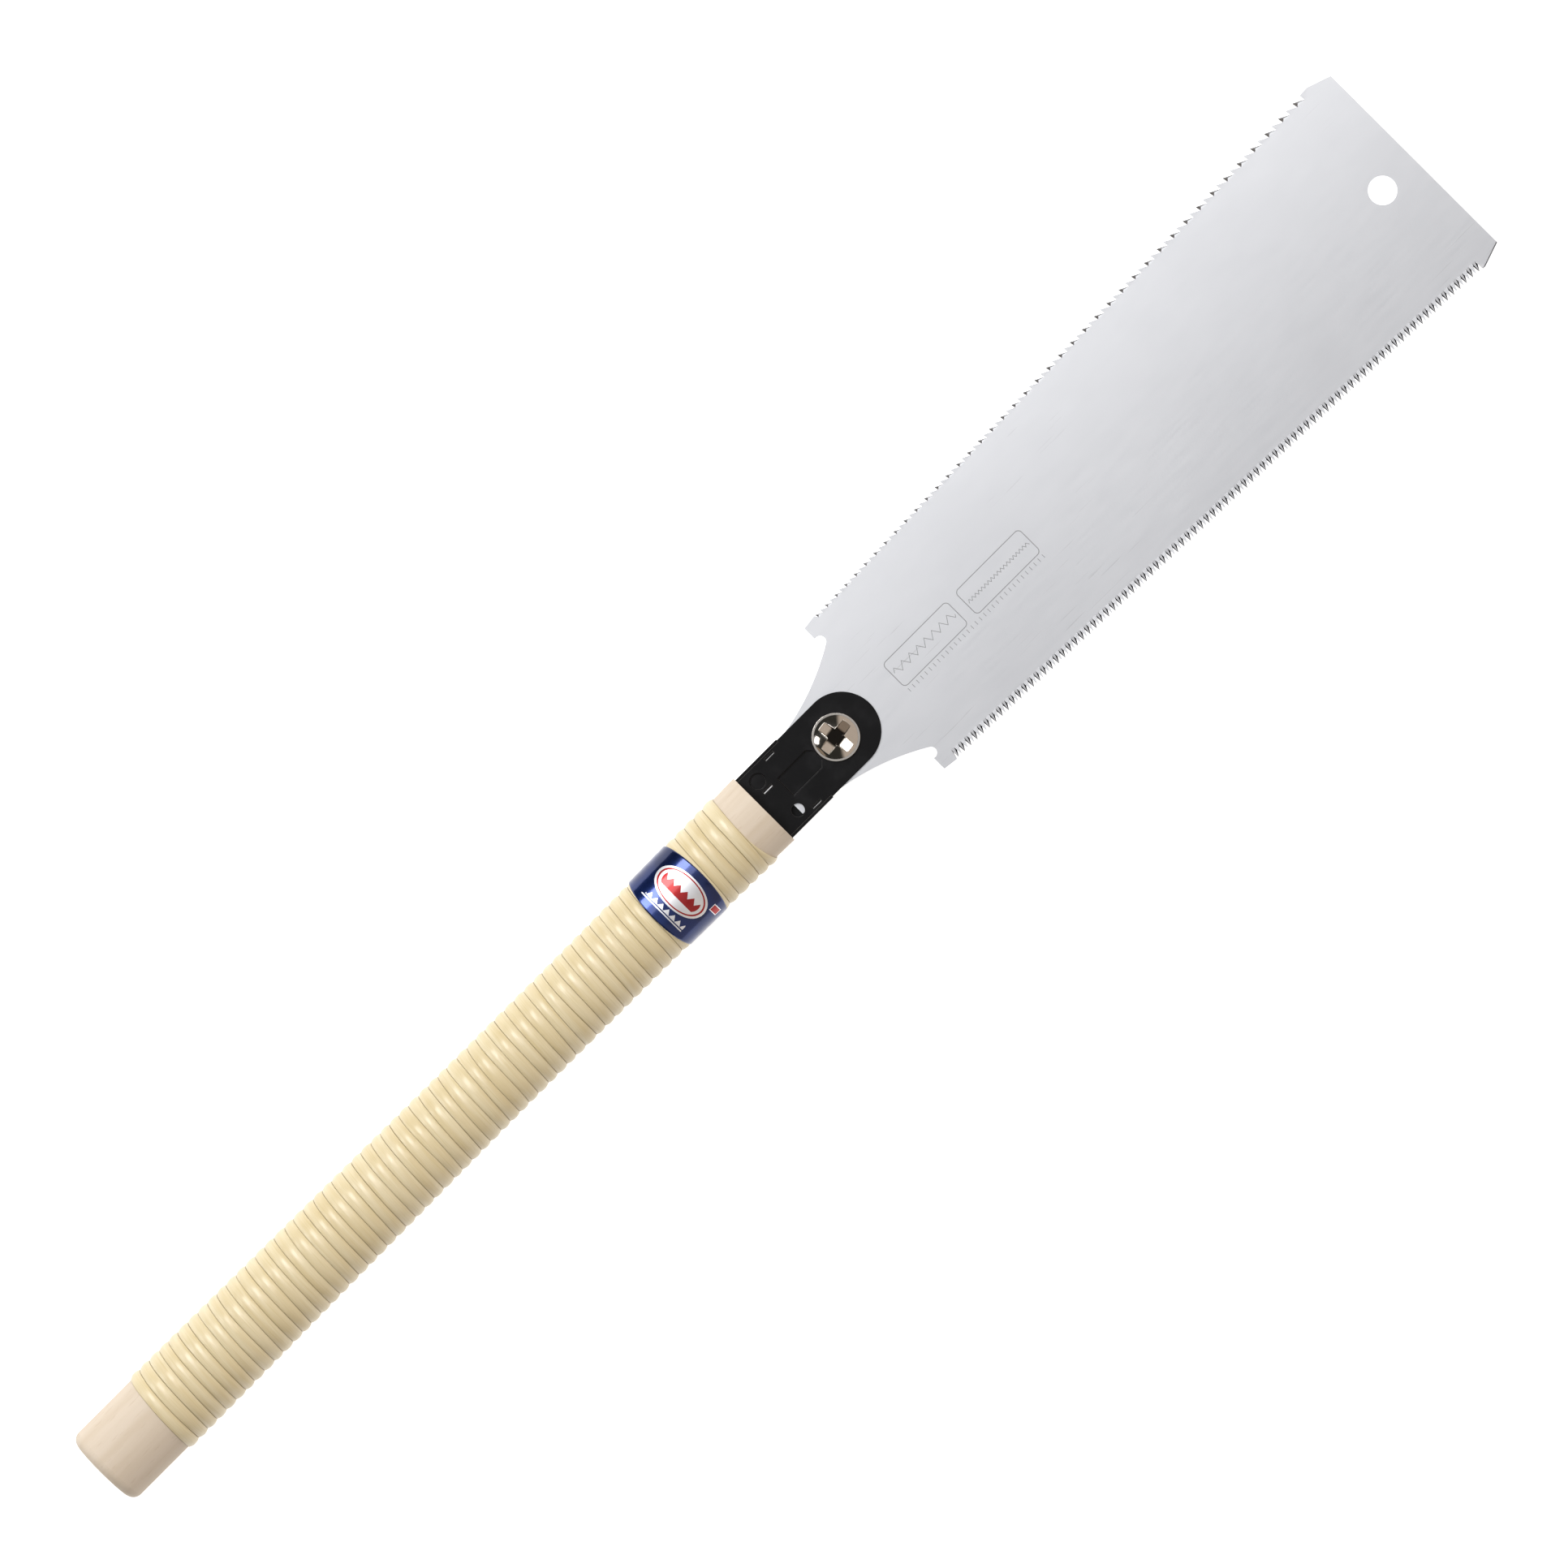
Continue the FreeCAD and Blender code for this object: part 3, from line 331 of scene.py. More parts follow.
rattan, tree, surface, place = new_finish("rattan", Specular_IOR_Level=0.3, Coat_Weight=0.35,
                                          Coat_Roughness=0.16)
along = add(tree, "Attribute", attribute_name="along").outputs["Fac"]
across_mark = add(tree, "Attribute", attribute_name="across").outputs["Fac"]
strip = add(tree, "CombineXYZ", {0: along, 1: across_mark}).outputs[0]
STRAW = (0.62, 0.515, 0.31, 1)
PALE_STRAW = (0.675, 0.585, 0.39, 1)
GREEN_STRAW = (0.54, 0.44, 0.22, 1)
SEAM_GRIME_AND_SHADE = (0.26, 0.18, 0.08, 1)
cane = noise(tree, strip, 1, 3.0, (26, 0.8, 1))
streak = noise(tree, strip, 1, 2.0, (60, 9, 1))
hair = noise(tree, strip, 1, 2.0, (90, 34, 1))
colour = mixed(tree, steps(tree, cane, 0.3, 0.7), STRAW, PALE_STRAW)
colour = mixed(tree, maths(tree, "MULTIPLY", steps(tree, streak, 0.45, 0.8), 0.6), colour,
               GREEN_STRAW)
# The seams between turns are painted dark brown, partly grime in the grooves and partly painted shade
# of the grooves; a noise along the strip makes some seams fainter.
edge = steps(tree, maths(tree, "ABSOLUTE", across_mark), 0.93, 1.0)
seam_strength = noise(tree, strip, 1, 2.0, (11, 0.2, 1))
seam_grime_and_shade = maths(tree, "MULTIPLY_ADD", steps(tree, seam_strength, 0.42, 0.62), 0.75, 0.08)
colour = mixed(tree, maths(tree, "MULTIPLY", edge, seam_grime_and_shade), colour, SEAM_GRIME_AND_SHADE)
use(tree, surface, Base_Color=colour,
    Roughness=maths(tree, "MULTIPLY_ADD", hair, 0.2, 0.26),
    Normal=bump(tree, hair, 0.25, 0.08 * MM))
rows, columns = len(unwound), len(PROFILE)
new_piece("rattan_strip", on_handle(station, angle, height), carried_faces(rows, columns),
          [rattan], "handle", ["rattan_wrap"],
          marks={"along": np.repeat(unwound * METRES_A_TURN, columns),
                 "across": np.tile(PROFILE, rows)})


# ------------------------------------------------------------------ label band
# Printed metal foil glued round the wrap.  It is cut wider where it faces up than at the sides,
# is drawn tight over the crowns of the strip, and its ends overlap underneath.

LABEL_PLACE = 275.0
LABEL_HALF = 8.4
LABEL_BULGE = 2.7
LABEL_BULGE_POWER = 1.3
# Heights in mm over the wrap: its two faces, how much it follows the crowns, and its lap's rise.
FOIL_OUTER, FOIL_INNER, FOIL_RIPPLE, FOIL_RISE = 0.174, 0.086, 0.024, 0.055
LABEL_LAP = 0.12
ROUND_STEPS, ALONG_STEPS = 240, 41
MM_A_RADIAN = 14.0
# The print, in mm along the saw and round the handle from the band's middle.
EMBLEM_ALONG, EMBLEM_HALF = 1.7, (6.4, 11.0)
# How far inside the emblem its ring lies and its saw ends, and the saw's back and teeth.
RING_AT, RING_HALF, SAW_END, SAW_BACK = 0.13, 0.035, 0.27, -2.4
SAW_HALF_PITCH, SAW_SLOPE, SAW_ROOT = 1.5, 1.3, -0.2
STRIPE_ALONG, STRIPE_HALF = -7.7, (0.22, 9.5)
BORDER_BACK, BORDER_ROUND = -7.05, (-0.6, 8.8)
BORDER_HALF_PITCH, BORDER_SLOPE, BORDER_ROOT = 1.3, 1.4, -7.0
FLASH_ALONG, FLASH_ROUND, FLASH_HALF, FLASH_RIM = 5.6, -13.6, (1.1, 2.0), 0.3
FOIL_BLUE = (0.011, 0.033, 0.17, 1)
FOIL_DEEP = (0.006, 0.014, 0.07, 1)
PRINT_WHITE = (0.78, 0.79, 0.82, 1)
PRINT_RED = (0.36, 0.012, 0.014, 1)

# The foil is a closed ribbon round the handle: each row runs along its outer face and back along
# its inner one, half its width is LABEL_HALF plus the bulge times a power of the cosine of the
# angle from the top, and its height follows the crowns of the turns below it and rises to its lap.
foil_angle = np.linspace(-math.pi - LABEL_LAP, math.pi + LABEL_LAP, ROUND_STEPS)[:, None]
forth = np.linspace(-1, 1, ALONG_STEPS)
across = np.concatenate([forth, forth[::-1]])[None, :]
outer = (np.arange(2 * ALONG_STEPS) < ALONG_STEPS)[None, :]
half = LABEL_HALF + LABEL_BULGE * np.clip(np.cos(foil_angle), 0, 1) ** LABEL_BULGE_POWER
station = LABEL_PLACE + half * across
turn = (station - WRAP_START) / PITCH - (foil_angle - math.pi / 2) / (2 * math.pi)
ripple = FOIL_RIPPLE * np.cos(2 * math.pi * turn)
lap = FOIL_RISE * foil_angle / math.pi
height = WRAP_THICK + ripple + lap + np.where(outer, FOIL_OUTER, FOIL_INNER)

label, tree, surface, place = new_finish("label_foil", Metallic=0.75, Roughness=0.24,
                                         Coat_Weight=0.6, Coat_Roughness=0.08)
around = add(tree, "Attribute", attribute_name="around").outputs["Fac"]
along = add(tree, "Attribute", attribute_name="along").outputs["Fac"]


def inside_oval(tree, x, y, half_x, half_y):
    """How far inside an oval: above 0 inside it, 1 at its middle."""
    x = maths(tree, "POWER", maths(tree, "DIVIDE", x, half_x), 2.0)
    y = maths(tree, "POWER", maths(tree, "DIVIDE", y, half_y), 2.0)
    return maths(tree, "SUBTRACT", 1.0, maths(tree, "SQRT", maths(tree, "ADD", x, y)))


def oblong(tree, x, y, middle, halves):
    """1 inside an upright oblong, else 0."""
    return maths(tree, "MULTIPLY", band(tree, x, middle[0], halves[0]),
                 band(tree, y, middle[1], halves[1]))


emblem_x = maths(tree, "SUBTRACT", along, EMBLEM_ALONG)
emblem = inside_oval(tree, emblem_x, around, *EMBLEM_HALF)
field = maths(tree, "GREATER_THAN", emblem, 0.0)
rim = band(tree, emblem, RING_AT, RING_HALF)
teeth = maths(tree, "PINGPONG", around, SAW_HALF_PITCH)
teeth = maths(tree, "MULTIPLY_ADD", teeth, SAW_SLOPE, SAW_ROOT)
saw = maths(tree, "MULTIPLY", maths(tree, "LESS_THAN", emblem_x, teeth),
            maths(tree, "GREATER_THAN", emblem_x, SAW_BACK))
saw = maths(tree, "MULTIPLY", saw, maths(tree, "GREATER_THAN", emblem, SAW_END))
shade = noise(tree, place, 60, 2.0)
colour = mixed(tree, steps(tree, shade, 0.3, 0.7), FOIL_BLUE, FOIL_DEEP)
stripe = oblong(tree, along, around, (STRIPE_ALONG, 0), STRIPE_HALF)
border = maths(tree, "PINGPONG", around, BORDER_HALF_PITCH)
border = maths(tree, "MULTIPLY_ADD", border, BORDER_SLOPE, BORDER_ROOT)
border = maths(tree, "MULTIPLY", maths(tree, "LESS_THAN", along, border),
               maths(tree, "GREATER_THAN", along, BORDER_BACK))
border = maths(tree, "MULTIPLY", border, band(tree, around, *BORDER_ROUND))
white = maths(tree, "MAXIMUM", field, maths(tree, "MAXIMUM", stripe, border))
flash = oblong(tree, along, around, (FLASH_ALONG, FLASH_ROUND), FLASH_HALF)
flash_rim = oblong(tree, along, around, (FLASH_ALONG, FLASH_ROUND),
                   [half + FLASH_RIM for half in FLASH_HALF])
white = maths(tree, "MAXIMUM", white, flash_rim)
red = maths(tree, "MAXIMUM", flash, maths(tree, "MAXIMUM", rim, saw))
colour = mixed(tree, white, colour, PRINT_WHITE)
colour = mixed(tree, red, colour, PRINT_RED)
use(tree, surface, Base_Color=colour,
    Roughness=maths(tree, "MULTIPLY_ADD", white, 0.2, 0.22))
rows, columns = foil_angle.shape[0], across.shape[1]
new_piece("label_foil", on_handle(station, foil_angle, height), carried_faces(rows, columns),
          [label], "handle", ["label_band"],
          marks={"around": np.repeat(foil_angle * MM_A_RADIAN, columns, axis=1),
                 "along": np.broadcast_to(half * across, (rows, columns))})


# ------------------------------------------------------------------ clamp nut
# Hexagon nut with a round spigot pressed into the back plate, turned from bright mild steel and
# left with the fine rings of the lathe.

TURNED_STEEL = (0.50, 0.50, 0.51, 1)

nut_steel, tree, surface, place = new_finish("nut_steel", Metallic=1.0, Base_Color=TURNED_STEEL)
rings = noise(tree, place, 1800, 2.0, (0.3, 0.3, 3))
use(tree, surface, Roughness=maths(tree, "MULTIPLY_ADD", rings, 0.25, 0.22),
    Normal=bump(tree, rings, 0.1, 0.02 * MM))
dress("clamp_nut", nut_steel)


# ------------------------------------------------------------------ blade
# Cold-rolled saw steel, ground thin and bright.  Its teeth are filed on alternate faces and set to
# alternate sides; their flanks and the crosscut toe's chamfer are painted dark as shade, and two
# small tooth pictures are etched on it.

SCREW_X = (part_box("screw_washer")[0].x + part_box("screw_washer")[1].x) / 2 / MM
BLADE_HALF = 0.3
LEGS_END, LEGS_HALF, SLOT_HALF = -26.2, 10.4, 4.15
SHOULDER_BACK, SHOULDER_FRONT = -17.0, -13.6
NECK_X, NECK_HALF, NECK_RADIUS = -26.0, 12.1, 90.0
NOTCH_RADIUS, NOTCH_AHEAD = 2.0, 0.67
HEEL_X, HEEL_HALF, HEEL_LAND, HEEL_RISE = 18.4, 33.5, 5.4, 0.7
TOE_X, TOE_HALF = 267.9, 42.7
TIP_X, TIP_HALF = 276.4, 39.8
HANG_X, HANG_RADIUS = 261.4, 5.0
# The rip teeth's start, lean and depth are shares of their pitch, and so is the crosscut's lean.
HEEL_PITCH, TOE_PITCH, RIP_START, RIP_LEAN, RIP_DEPTH = 2.31, 3.58, 0.3, 0.12, 0.62
CUT_PITCH, CUT_LEAN, CUT_DEPTH = 1.45, 0.15, 2.6
SLOT_STEPS, HANG_STEPS = 17, 64


def rip_stations(run):
    """Gullets and points along the rip edge and their depth; the pitch grows with the distance.

    The gullets lie on an exponential curve of their number, whose slope is the pitch.
    """
    growth = (TOE_PITCH - HEEL_PITCH) / run
    count = int(math.log(1 + growth * run / HEEL_PITCH) / growth)
    gullet = HEEL_PITCH / growth * (np.exp(growth * (np.arange(count) + RIP_START)) - 1)
    pitch = HEEL_PITCH + growth * gullet
    return gullet, gullet - RIP_LEAN * pitch, RIP_DEPTH * pitch


def crosscut_stations(run):
    """Gullets and points along the crosscut edge and their depth, all of one pitch."""
    gullet = run - np.arange(int(run / CUT_PITCH), 0, -1) * CUT_PITCH
    return gullet, gullet + CUT_LEAN * CUT_PITCH, np.full(len(gullet), CUT_DEPTH)


def arc(centre, radius, start, end, count):
    """Points along an arc between two angles, both ends included."""
    angle = np.linspace(start, end, count)
    return np.stack([centre[0] + radius * np.cos(angle), centre[1] + radius * np.sin(angle)], -1)


def blade_side(stations, bevel, short, bend, deeper, chamfer):
    """Upper and lower outline of one side from the legs to the tip, their bend and where teeth are.

    Every second tooth is filed on the upper face: there its gullets move in by bevel and its point
    falls back by short of its height; the teeth between are filed so on the lower face.  The
    upper face's gullets are deeper by so much, and its toe is cut back by chamfer.
    """
    neck_centre = np.array([NECK_X, NECK_HALF + NECK_RADIUS])
    notch_x = HEEL_X + NOTCH_AHEAD
    drop = math.sqrt((NECK_RADIUS - NOTCH_RADIUS) ** 2 - (notch_x - NECK_X) ** 2)
    notch_centre = np.array([notch_x, neck_centre[1] - drop])
    shoulder = -math.acos((SHOULDER_FRONT - NECK_X) / NECK_RADIUS)
    touch = math.atan2(notch_centre[1] - neck_centre[1], notch_x - NECK_X)
    leave = math.acos((HEEL_X - notch_x) / NOTCH_RADIUS)
    plain = np.concatenate([
        [[LEGS_END, SLOT_HALF], [LEGS_END, LEGS_HALF], [SHOULDER_BACK, LEGS_HALF]],
        arc(neck_centre, NECK_RADIUS, shoulder, touch, 40),
        arc(notch_centre, NOTCH_RADIUS, touch, leave, 16)[1:],
        [[HEEL_X, HEEL_HALF], [HEEL_X + HEEL_LAND, HEEL_HALF + HEEL_RISE]],
    ])
    first, toe = plain[-1], np.array([TOE_X, TOE_HALF])
    run = np.linalg.norm(toe - first)
    ahead = (toe - first) / run
    inward = np.array([ahead[1], -ahead[0]])
    gullet, point, depth = stations(run)
    side = np.where(np.arange(len(gullet)) % 2 == 0, 1.0, -1.0)
    following = np.append(gullet[1:], run)
    slope = np.array([TOE_HALF - TIP_HALF, TIP_X - TOE_X])
    slope = slope / np.linalg.norm(slope)
    shift = np.where(np.arange(len(gullet)) > 0, bevel, 0.0) * side
    outlines = []
    for face in (1.0, -1.0):
        upper = max(face, 0.0)
        bottom = first + np.outer(gullet + face * shift, ahead)
        bottom = bottom + np.outer(depth + deeper * upper, inward)
        middle = first + np.outer((gullet + following) / 2, ahead) + np.outer(depth, inward)
        top = first + np.outer(point, ahead)
        filed = (short * (face * side > 0))[:, None]
        top = top + (middle - top) * filed
        rows = np.stack([bottom, top], 1).reshape(-1, 2)
        corners = np.stack([toe - chamfer * upper * slope,
                            [TIP_X, TIP_HALF - chamfer * upper / slope[1]]])
        outlines.append(np.concatenate([plain, rows, corners]))
    lift = np.concatenate([np.zeros(len(plain)),
                           np.stack([0 * side, -bend * side], 1).ravel(), [0, 0]])
    toothed = np.concatenate([np.zeros(len(plain)), np.ones(2 * len(side)), [chamfer, 0]])
    return outlines, lift, toothed


def plate_faces(outline, hole):
    """Triangles that fill a closed outline around a hole, by a constrained triangulation."""
    places = [Vector(p) for p in np.concatenate([outline, hole])]
    count, whole = len(outline), len(outline) + len(hole)
    edges = [(i, (i + 1) % count) for i in range(count)]
    edges += [(i, i + 1 if i + 1 < whole else count) for i in range(count, whole)]
    found = delaunay_2d_cdt(places, edges, [], 1, 1e-7)
    origin = [ids[0] for ids in found[3]]
    faces = np.array([[origin[v] for v in face] for face in found[2]])
    return faces[faces.min(1) < count].tolist()


rip, rip_lift, rip_toothed = blade_side(rip_stations, bevel=0.12, short=0.62, bend=0.015,
                                        deeper=0.0, chamfer=0.0)
cut, cut_lift, cut_toothed = blade_side(crosscut_stations, bevel=0.20, short=0.14, bend=0.10,
                                        deeper=1.10, chamfer=0.42)
slot_end = arc((0, 0), SLOT_HALF, -math.pi / 2, math.pi / 2, SLOT_STEPS)
mirror = np.array([1, -1])
outlines = [np.concatenate([rip[k][::-1], slot_end[::-1], cut[k] * mirror]) for k in (0, 1)]
lift = np.concatenate([rip_lift[::-1], np.zeros(SLOT_STEPS), cut_lift])
toothed = np.concatenate([rip_toothed[::-1], np.zeros(SLOT_STEPS), cut_toothed])
hole = arc((HANG_X, 0), HANG_RADIUS, 0, 2 * math.pi, HANG_STEPS + 1)[:-1]
blade_z = (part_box("blade")[0].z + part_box("blade")[1].z) / 2 / MM


def flat_points(outline, level):
    """Points of a face of the blade, in metres, bent by lift at the teeth."""
    flat = np.concatenate([outline, hole])
    bent = np.concatenate([lift, np.zeros(len(hole))])
    return np.column_stack([flat[:, 0] + SCREW_X, flat[:, 1], blade_z + level + bent]) * MM


# The blade is its upper and lower face, a wall from each point of the one to that of the other,
# and the wall of the hanging hole.
top_faces = plate_faces(outlines[0], hole)
low_faces = plate_faces(outlines[1], hole)
count, whole = len(outlines[0]), len(outlines[0]) + len(hole)
ring = np.arange(count)
walls = np.stack([ring, ring + whole, np.roll(ring, -1) + whole, np.roll(ring, -1)], -1)
bore = np.arange(count, whole)
bore_walls = np.stack([bore, bore + whole, np.roll(bore, -1) + whole, np.roll(bore, -1)], -1)
# The walls along the teeth and the toe chamfer, which take the painted shade.
shaded_walls = (toothed + np.roll(toothed, -1)) > 0
faces = top_faces + [[v + whole for v in face][::-1] for face in low_faces]
faces += walls.tolist() + bore_walls.tolist()

BLADE_STEEL = (0.765, 0.775, 0.80, 1)
WARM_STEEL = (0.72, 0.73, 0.755, 1)
ETCHED = (0.22, 0.22, 0.23, 1)
SCRATCHED = (0.45, 0.45, 0.46, 1)
# Painted shade for the flanks of the teeth and the crosscut toe's chamfer; the rip flanks get a
# lighter grey.
SHADED_FLANK, HALF_SHADED_FLANK = (0.05, 0.05, 0.055, 1), (0.12, 0.12, 0.13, 1)
RIP_SHADED_FLANK = (0.46, 0.46, 0.47, 1)
# The etching: two round-cornered frames side by side, sizes in mm from the middle of the pair.
ETCH_X, ETCH_Y = 98.0, 0.8
FRAME_X, FRAME_HALF, FRAME_TALL, FRAME_CORNER = 17.3, 15.2, 5.4, 1.6
COARSE_TOOTH, FINE_TOOTH, TOOTH_SLOPE, TOOTH_ROOT, TOOTH_ROOM = 3.6, 1.5, 1.5, -0.8, 0.9
FRAME_LINE, TOOTH_LINE = 0.15, 0.2
TICK_SPACE, TICK_LINE, TICK_Y, TICK_HALF, RULER_HALF = 1.0, 0.11, -7.1, 0.75, 32.6

blade_steel, tree, surface, place = new_finish("blade_steel", Metallic=1.0)
grind = noise(tree, place, 900, 3.0, (0.08, 1, 1))
mottle = noise(tree, place, 14, 3.0)
rubbed = noise(tree, place, 1500, 2.0, (0.03, 1, 1))
patch = noise(tree, place, 22, 2.0)
scratch = maths(tree, "MULTIPLY", steps(tree, rubbed, 0.66, 0.72), steps(tree, patch, 0.5, 0.65))
axes = add(tree, "SeparateXYZ", {0: place}).outputs
etch_x = maths(tree, "MULTIPLY_ADD", axes[0], 1 / MM, -ETCH_X)
etch_y = maths(tree, "MULTIPLY_ADD", axes[1], 1 / MM, -ETCH_Y)
out_x = maths(tree, "ABSOLUTE", maths(tree, "SUBTRACT", maths(tree, "ABSOLUTE", etch_x), FRAME_X))
out_x = maths(tree, "MAXIMUM", maths(tree, "SUBTRACT", out_x, FRAME_HALF - FRAME_CORNER), 0.0)
out_y = maths(tree, "SUBTRACT", maths(tree, "ABSOLUTE", etch_y), FRAME_TALL - FRAME_CORNER)
out_y = maths(tree, "MAXIMUM", out_y, 0.0)
square = maths(tree, "ADD", maths(tree, "POWER", out_x, 2.0), maths(tree, "POWER", out_y, 2.0))
outline = band(tree, maths(tree, "SQRT", square), FRAME_CORNER, FRAME_LINE)
coarse = maths(tree, "LESS_THAN", etch_x, 0.0)
half_pitch = maths(tree, "MULTIPLY_ADD", coarse, (COARSE_TOOTH - FINE_TOOTH) / 2, FINE_TOOTH / 2)
tooth_line = maths(tree, "PINGPONG", etch_x, half_pitch)
tooth_line = maths(tree, "MULTIPLY_ADD", tooth_line, TOOTH_SLOPE, TOOTH_ROOT)
within = maths(tree, "LESS_THAN", maths(tree, "SQRT", square), FRAME_CORNER - TOOTH_ROOM)
tooth_line = maths(tree, "MULTIPLY", band(tree, etch_y, tooth_line, TOOTH_LINE), within)
ruler = band(tree, maths(tree, "PINGPONG", etch_x, TICK_SPACE), 0.0, TICK_LINE)
ruler = maths(tree, "MULTIPLY", ruler, oblong(tree, etch_x, etch_y, (0.0, TICK_Y),
                                              (RULER_HALF, TICK_HALF)))
etched = maths(tree, "MAXIMUM", ruler, maths(tree, "MAXIMUM", outline, tooth_line))
colour = mixed(tree, steps(tree, mottle, 0.2, 0.8), BLADE_STEEL, WARM_STEEL)
colour = mixed(tree, maths(tree, "MULTIPLY", scratch, 0.35), colour, SCRATCHED)
colour = mixed(tree, maths(tree, "MULTIPLY", etched, 0.75), colour, ETCHED)
rough = maths(tree, "MULTIPLY_ADD", grind, 0.10, 0.27)
rough = maths(tree, "MULTIPLY_ADD", etched, 0.15, rough)
use(tree, surface, Base_Color=colour, Roughness=rough,
    Normal=bump(tree, grind, 0.05, 0.02 * MM))

# The walls along the teeth get this painted shade in place of bright steel.
shaded_tooth_steel, tree, surface, place = new_finish("shaded_tooth_steel", Metallic=1.0)
filed = noise(tree, place, 2600, 2.0)
rip_edge = maths(tree, "GREATER_THAN", add(tree, "SeparateXYZ", {0: place}).outputs[1], 0.0)
colour = mixed(tree, filed, SHADED_FLANK, HALF_SHADED_FLANK)
use(tree, surface, Base_Color=mixed(tree, rip_edge, colour, RIP_SHADED_FLANK),
    Roughness=maths(tree, "MULTIPLY_ADD", filed, 0.15, 0.3))

points = np.concatenate([flat_points(outlines[0], BLADE_HALF), flat_points(outlines[1], -BLADE_HALF)])
saw_blade = new_piece("saw_blade", points, faces, [blade_steel, shaded_tooth_steel], "blade",
                      ["blade"], smooth=False)
index = np.zeros(len(faces), np.int32)
flats = len(top_faces) + len(low_faces)
index[flats:flats + count] = shaded_walls
saw_blade.data.polygons.foreach_set("material_index", index)


# ------------------------------------------------------------------ washer
# Plain washer that keeps the turning screw off the cover plate.  It is punched from steel strip,
# tumbled smooth and nickel plated.

NICKEL = (0.66, 0.62, 0.57, 1)
DULL_NICKEL = (0.60, 0.56, 0.51, 1)

nickel, tree, surface, place = new_finish("nickel", Metallic=1.0)
cloud = noise(tree, place, 300, 3.0)
scratch = noise(tree, place, 1400, 3.0, (1, 0.15, 1))
use(tree, surface, Base_Color=mixed(tree, cloud, NICKEL, DULL_NICKEL),
    Roughness=maths(tree, "MULTIPLY_ADD", scratch, 0.10, 0.07),
    Normal=bump(tree, scratch, 0.04, 0.02 * MM, 0.18 * MM))
dress("screw_washer", nickel)


# ------------------------------------------------------------------ clamp screw
# Large domed screw with a deep cross recess, nickel plated; a coin or a screwdriver turns it.
# The recess is painted near black towards its floor.

RECESS_DARK = (0.02, 0.017, 0.014, 1)
RECESS_DEPTH = 2.85
RECESS_DARK_DEPTH = 0.35
SEAT_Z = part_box("screw_washer")[1].z

screw_nickel = nickel.copy()
screw_nickel.name = "screw_nickel"
tree = screw_nickel.node_tree
surface = tree.nodes["Principled BSDF"]
depth = add(tree, "SeparateXYZ", {0: add(tree, "TexCoord").outputs["Object"]}).outputs[2]
floor_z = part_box("clamp_screw")[1].z - RECESS_DEPTH * MM
# Near black painted over the lowest part of the recess, only above the washer's seat.
recess_dark = maths(tree, "SUBTRACT", 1.0, steps(tree, depth, floor_z, floor_z + RECESS_DARK_DEPTH * MM))
recess_dark = maths(tree, "MULTIPLY", recess_dark, maths(tree, "GREATER_THAN", depth, SEAT_Z))
plain = surface.inputs["Base Color"].links[0].from_socket
use(tree, surface, Base_Color=mixed(tree, recess_dark, plain, RECESS_DARK))
dress("clamp_screw", screw_nickel)


# ------------------------------------------------------------------ floor, light and camera
# The saw lies on white paper that glows enough to hide its shadow, under a soft key light beyond
# the rip teeth, a strip overhead and a small light past the butt.  The bright parts mirror a dim
# room with one tan wall; the blade mirrors a wide pale panel instead of the key light.

FLOOR_HALF = 6
PAPER = (0.60, 0.60, 0.60, 1)
PAPER_GLOW = 0.86

floor_mesh = bpy.data.meshes.new("floor")
floor_corners = [(x * FLOOR_HALF, y * FLOOR_HALF, 0) for x, y in ((-1, -1), (1, -1), (1, 1), (-1, 1))]
floor_mesh.from_pydata(floor_corners, [], [(0, 1, 2, 3)])
floor = bpy.data.objects.new("floor", floor_mesh)
bpy.context.scene.collection.objects.link(floor)
paper, tree, surface, place = new_finish("paper", Base_Color=PAPER, Roughness=0.9,
                                         Specular_IOR_Level=0.0, Emission_Color=(1, 1, 1, 1),
                                         Emission_Strength=PAPER_GLOW)
floor_mesh.materials.append(paper)


def soft_light(name, where, aim, long, wide, power):
    """Rectangular area light at a place, its long side along X, turned towards its aim."""
    data = bpy.data.lights.new(name, "AREA")
    data.shape = "RECTANGLE"
    data.size, data.size_y = long, wide
    data.energy = power
    lamp = bpy.data.objects.new(name, data)
    out = (Vector(where) - Vector(aim)).normalized()
    side = Vector((1, 0, 0))
    side = (side - out * side.dot(out)).normalized()
    lamp.matrix_world = Matrix((side, out.cross(side), out)).transposed().to_4x4()
    lamp.location = where
    lamp.visible_camera = False
    bpy.context.scene.collection.objects.link(lamp)
    return lamp


def link_light(lamp, thing, state):
    """Let a lamp light everything but one piece (EXCLUDE), or that piece alone (INCLUDE)."""
    group = bpy.data.collections.new(lamp.name + "_receivers")
    group.objects.link(thing)
    lamp.light_linking.receiver_collection = group
    group.collection_objects[0].light_linking.link_state = state


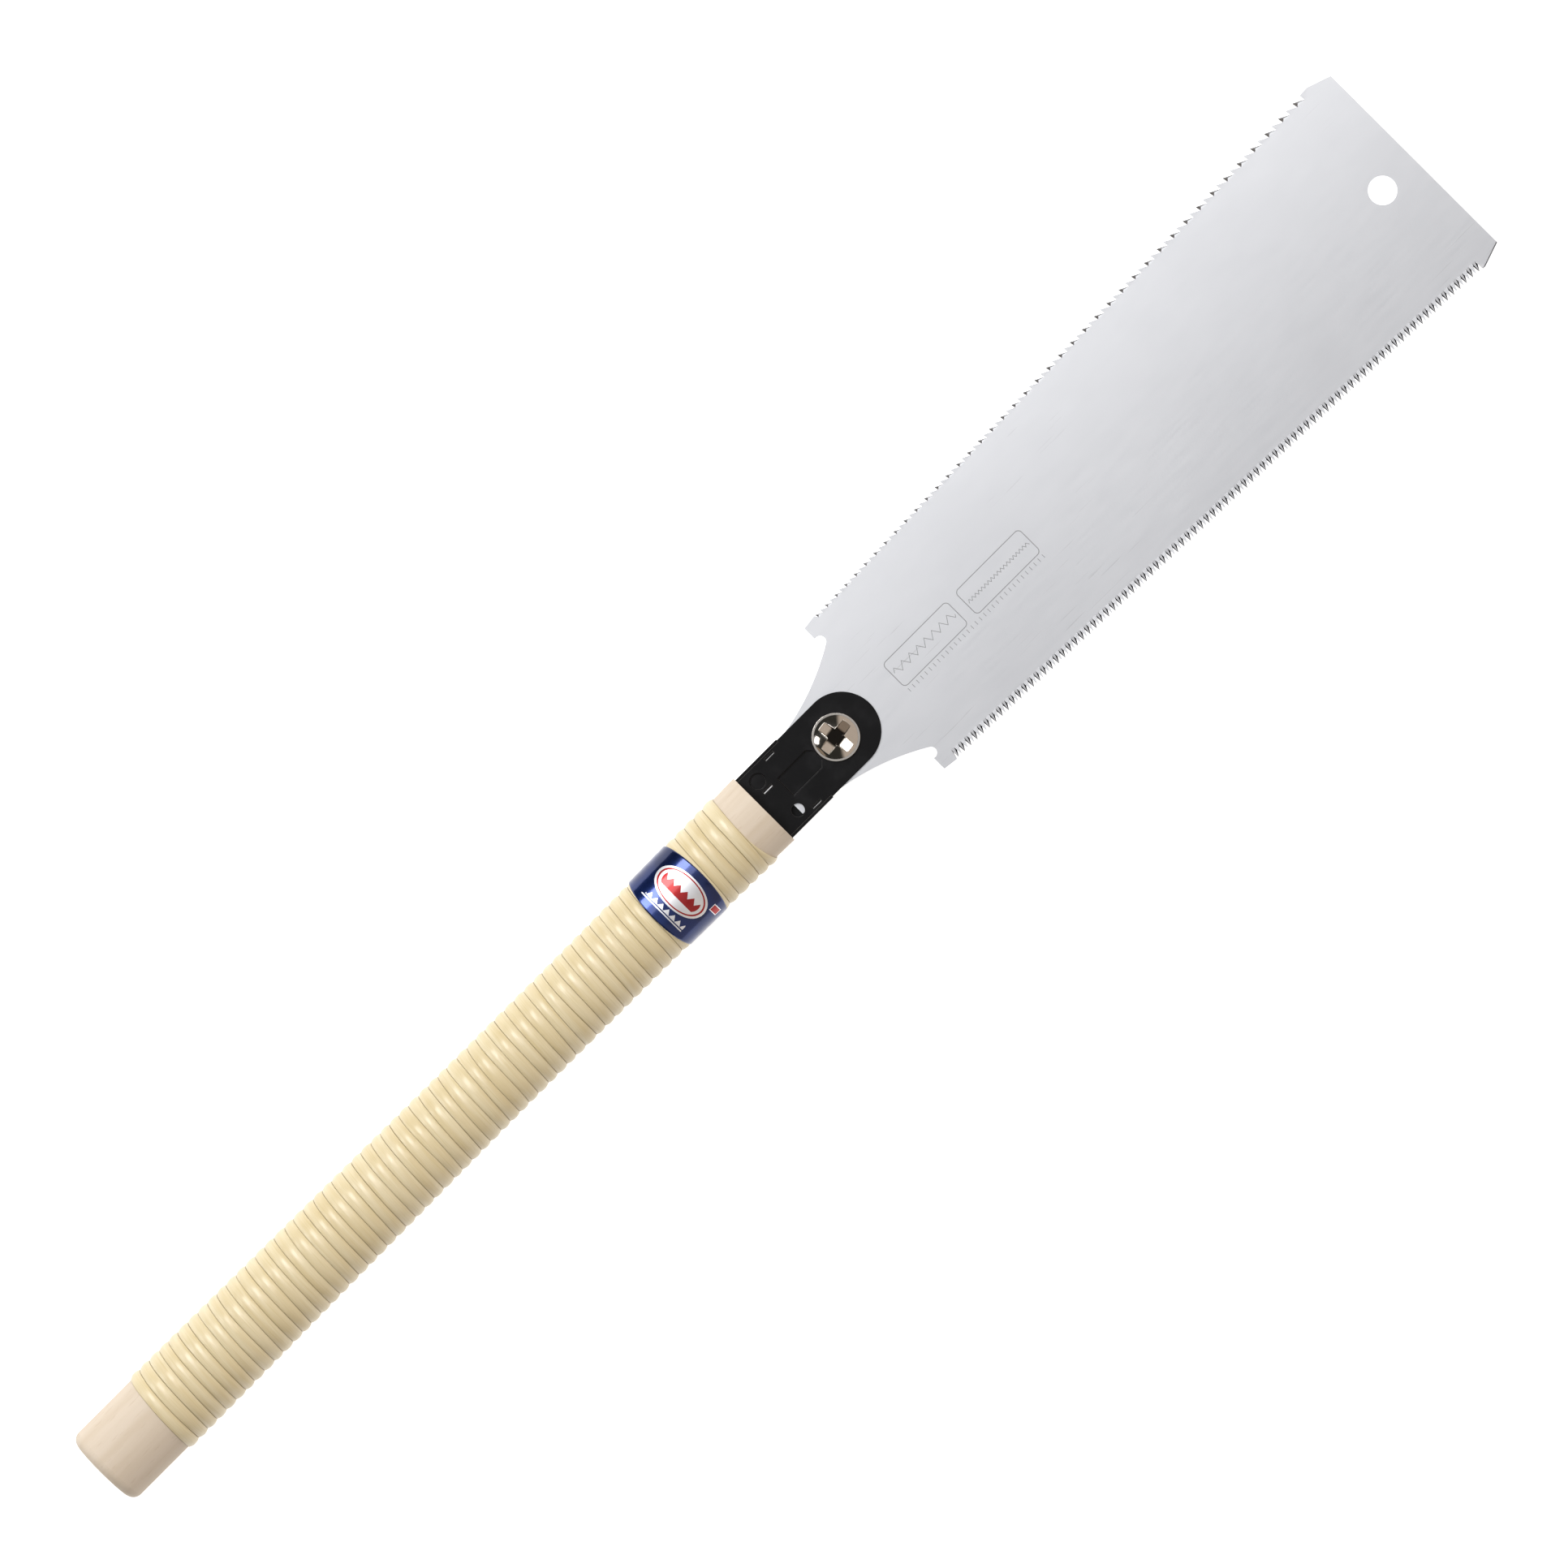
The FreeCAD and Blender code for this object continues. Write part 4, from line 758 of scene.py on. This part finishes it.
key = soft_light("key", (-0.08, 0.63, 0.80), (0, 0, 0), 0.55, 0.42, 7.8)
link_light(key, saw_blade, "EXCLUDE")
panel = soft_light("blade_panel", (0.15, 1.05, 0.90), (0.15, 0, 0), 2.6, 1.3, 8.5)
link_light(panel, saw_blade, "INCLUDE")
soft_light("overhead", (0.14, 0.32, 1.0), (0.05, 0, 0), 1.2, 0.30, 3.2)
soft_light("left", (-0.72, 0.54, 0.32), (0, 0, 0), 0.34, 0.28, 1.4)

ROOM_DARK, WALL_TAN = (0.035, 0.034, 0.03, 1), (0.62, 0.54, 0.47, 1)
DOOR_BROWN, CEILING_PALE = (0.30, 0.24, 0.19, 1), (0.55, 0.55, 0.56, 1)
DOOR_WAY = (-0.61, -0.09, 0.79)

world = bpy.data.worlds.new("studio")
world.use_nodes = True
tree = world.node_tree
way = add(tree, "TexCoord").outputs["Generated"]
axes = add(tree, "SeparateXYZ", {0: way}).outputs
wall = maths(tree, "MULTIPLY_ADD", axes[1], -0.6, maths(tree, "MULTIPLY", axes[0], 0.8))
wall = steps(tree, wall, 0.12, 0.35)
ceiling = steps(tree, axes[2], 0.86, 0.96)
door = add(tree, "VectorMath", {0: way, 1: DOOR_WAY}, operation="DOT_PRODUCT")
door = steps(tree, door.outputs["Value"], 0.93, 0.98)
colour = mixed(tree, wall, ROOM_DARK, WALL_TAN)
colour = mixed(tree, door, colour, DOOR_BROWN)
colour = mixed(tree, ceiling, colour, CEILING_PALE)
tree.links.new(colour, tree.nodes["Background"].inputs[0])
bpy.context.scene.world = world
bpy.context.scene.view_settings.view_transform = "Standard"

# The camera looks straight down from far off, turned so that the saw runs from corner to corner.
VIEW_WIDTH = 0.5301
VIEW_MIDDLE = (0.0135, 0.0012)
CAMERA_HEIGHT = 3.0
SENSOR = 36.0
SAW_LEVEL = 0.0135
lens = bpy.data.cameras.new("camera")
lens.sensor_width = SENSOR
lens.lens = SENSOR * (CAMERA_HEIGHT - SAW_LEVEL) / VIEW_WIDTH
lens.clip_end = 50
camera = bpy.data.objects.new("camera", lens)
camera.location = (*VIEW_MIDDLE, CAMERA_HEIGHT)
camera.rotation_euler = (0, 0, -math.pi / 4)
bpy.context.scene.collection.objects.link(camera)
bpy.context.scene.camera = camera
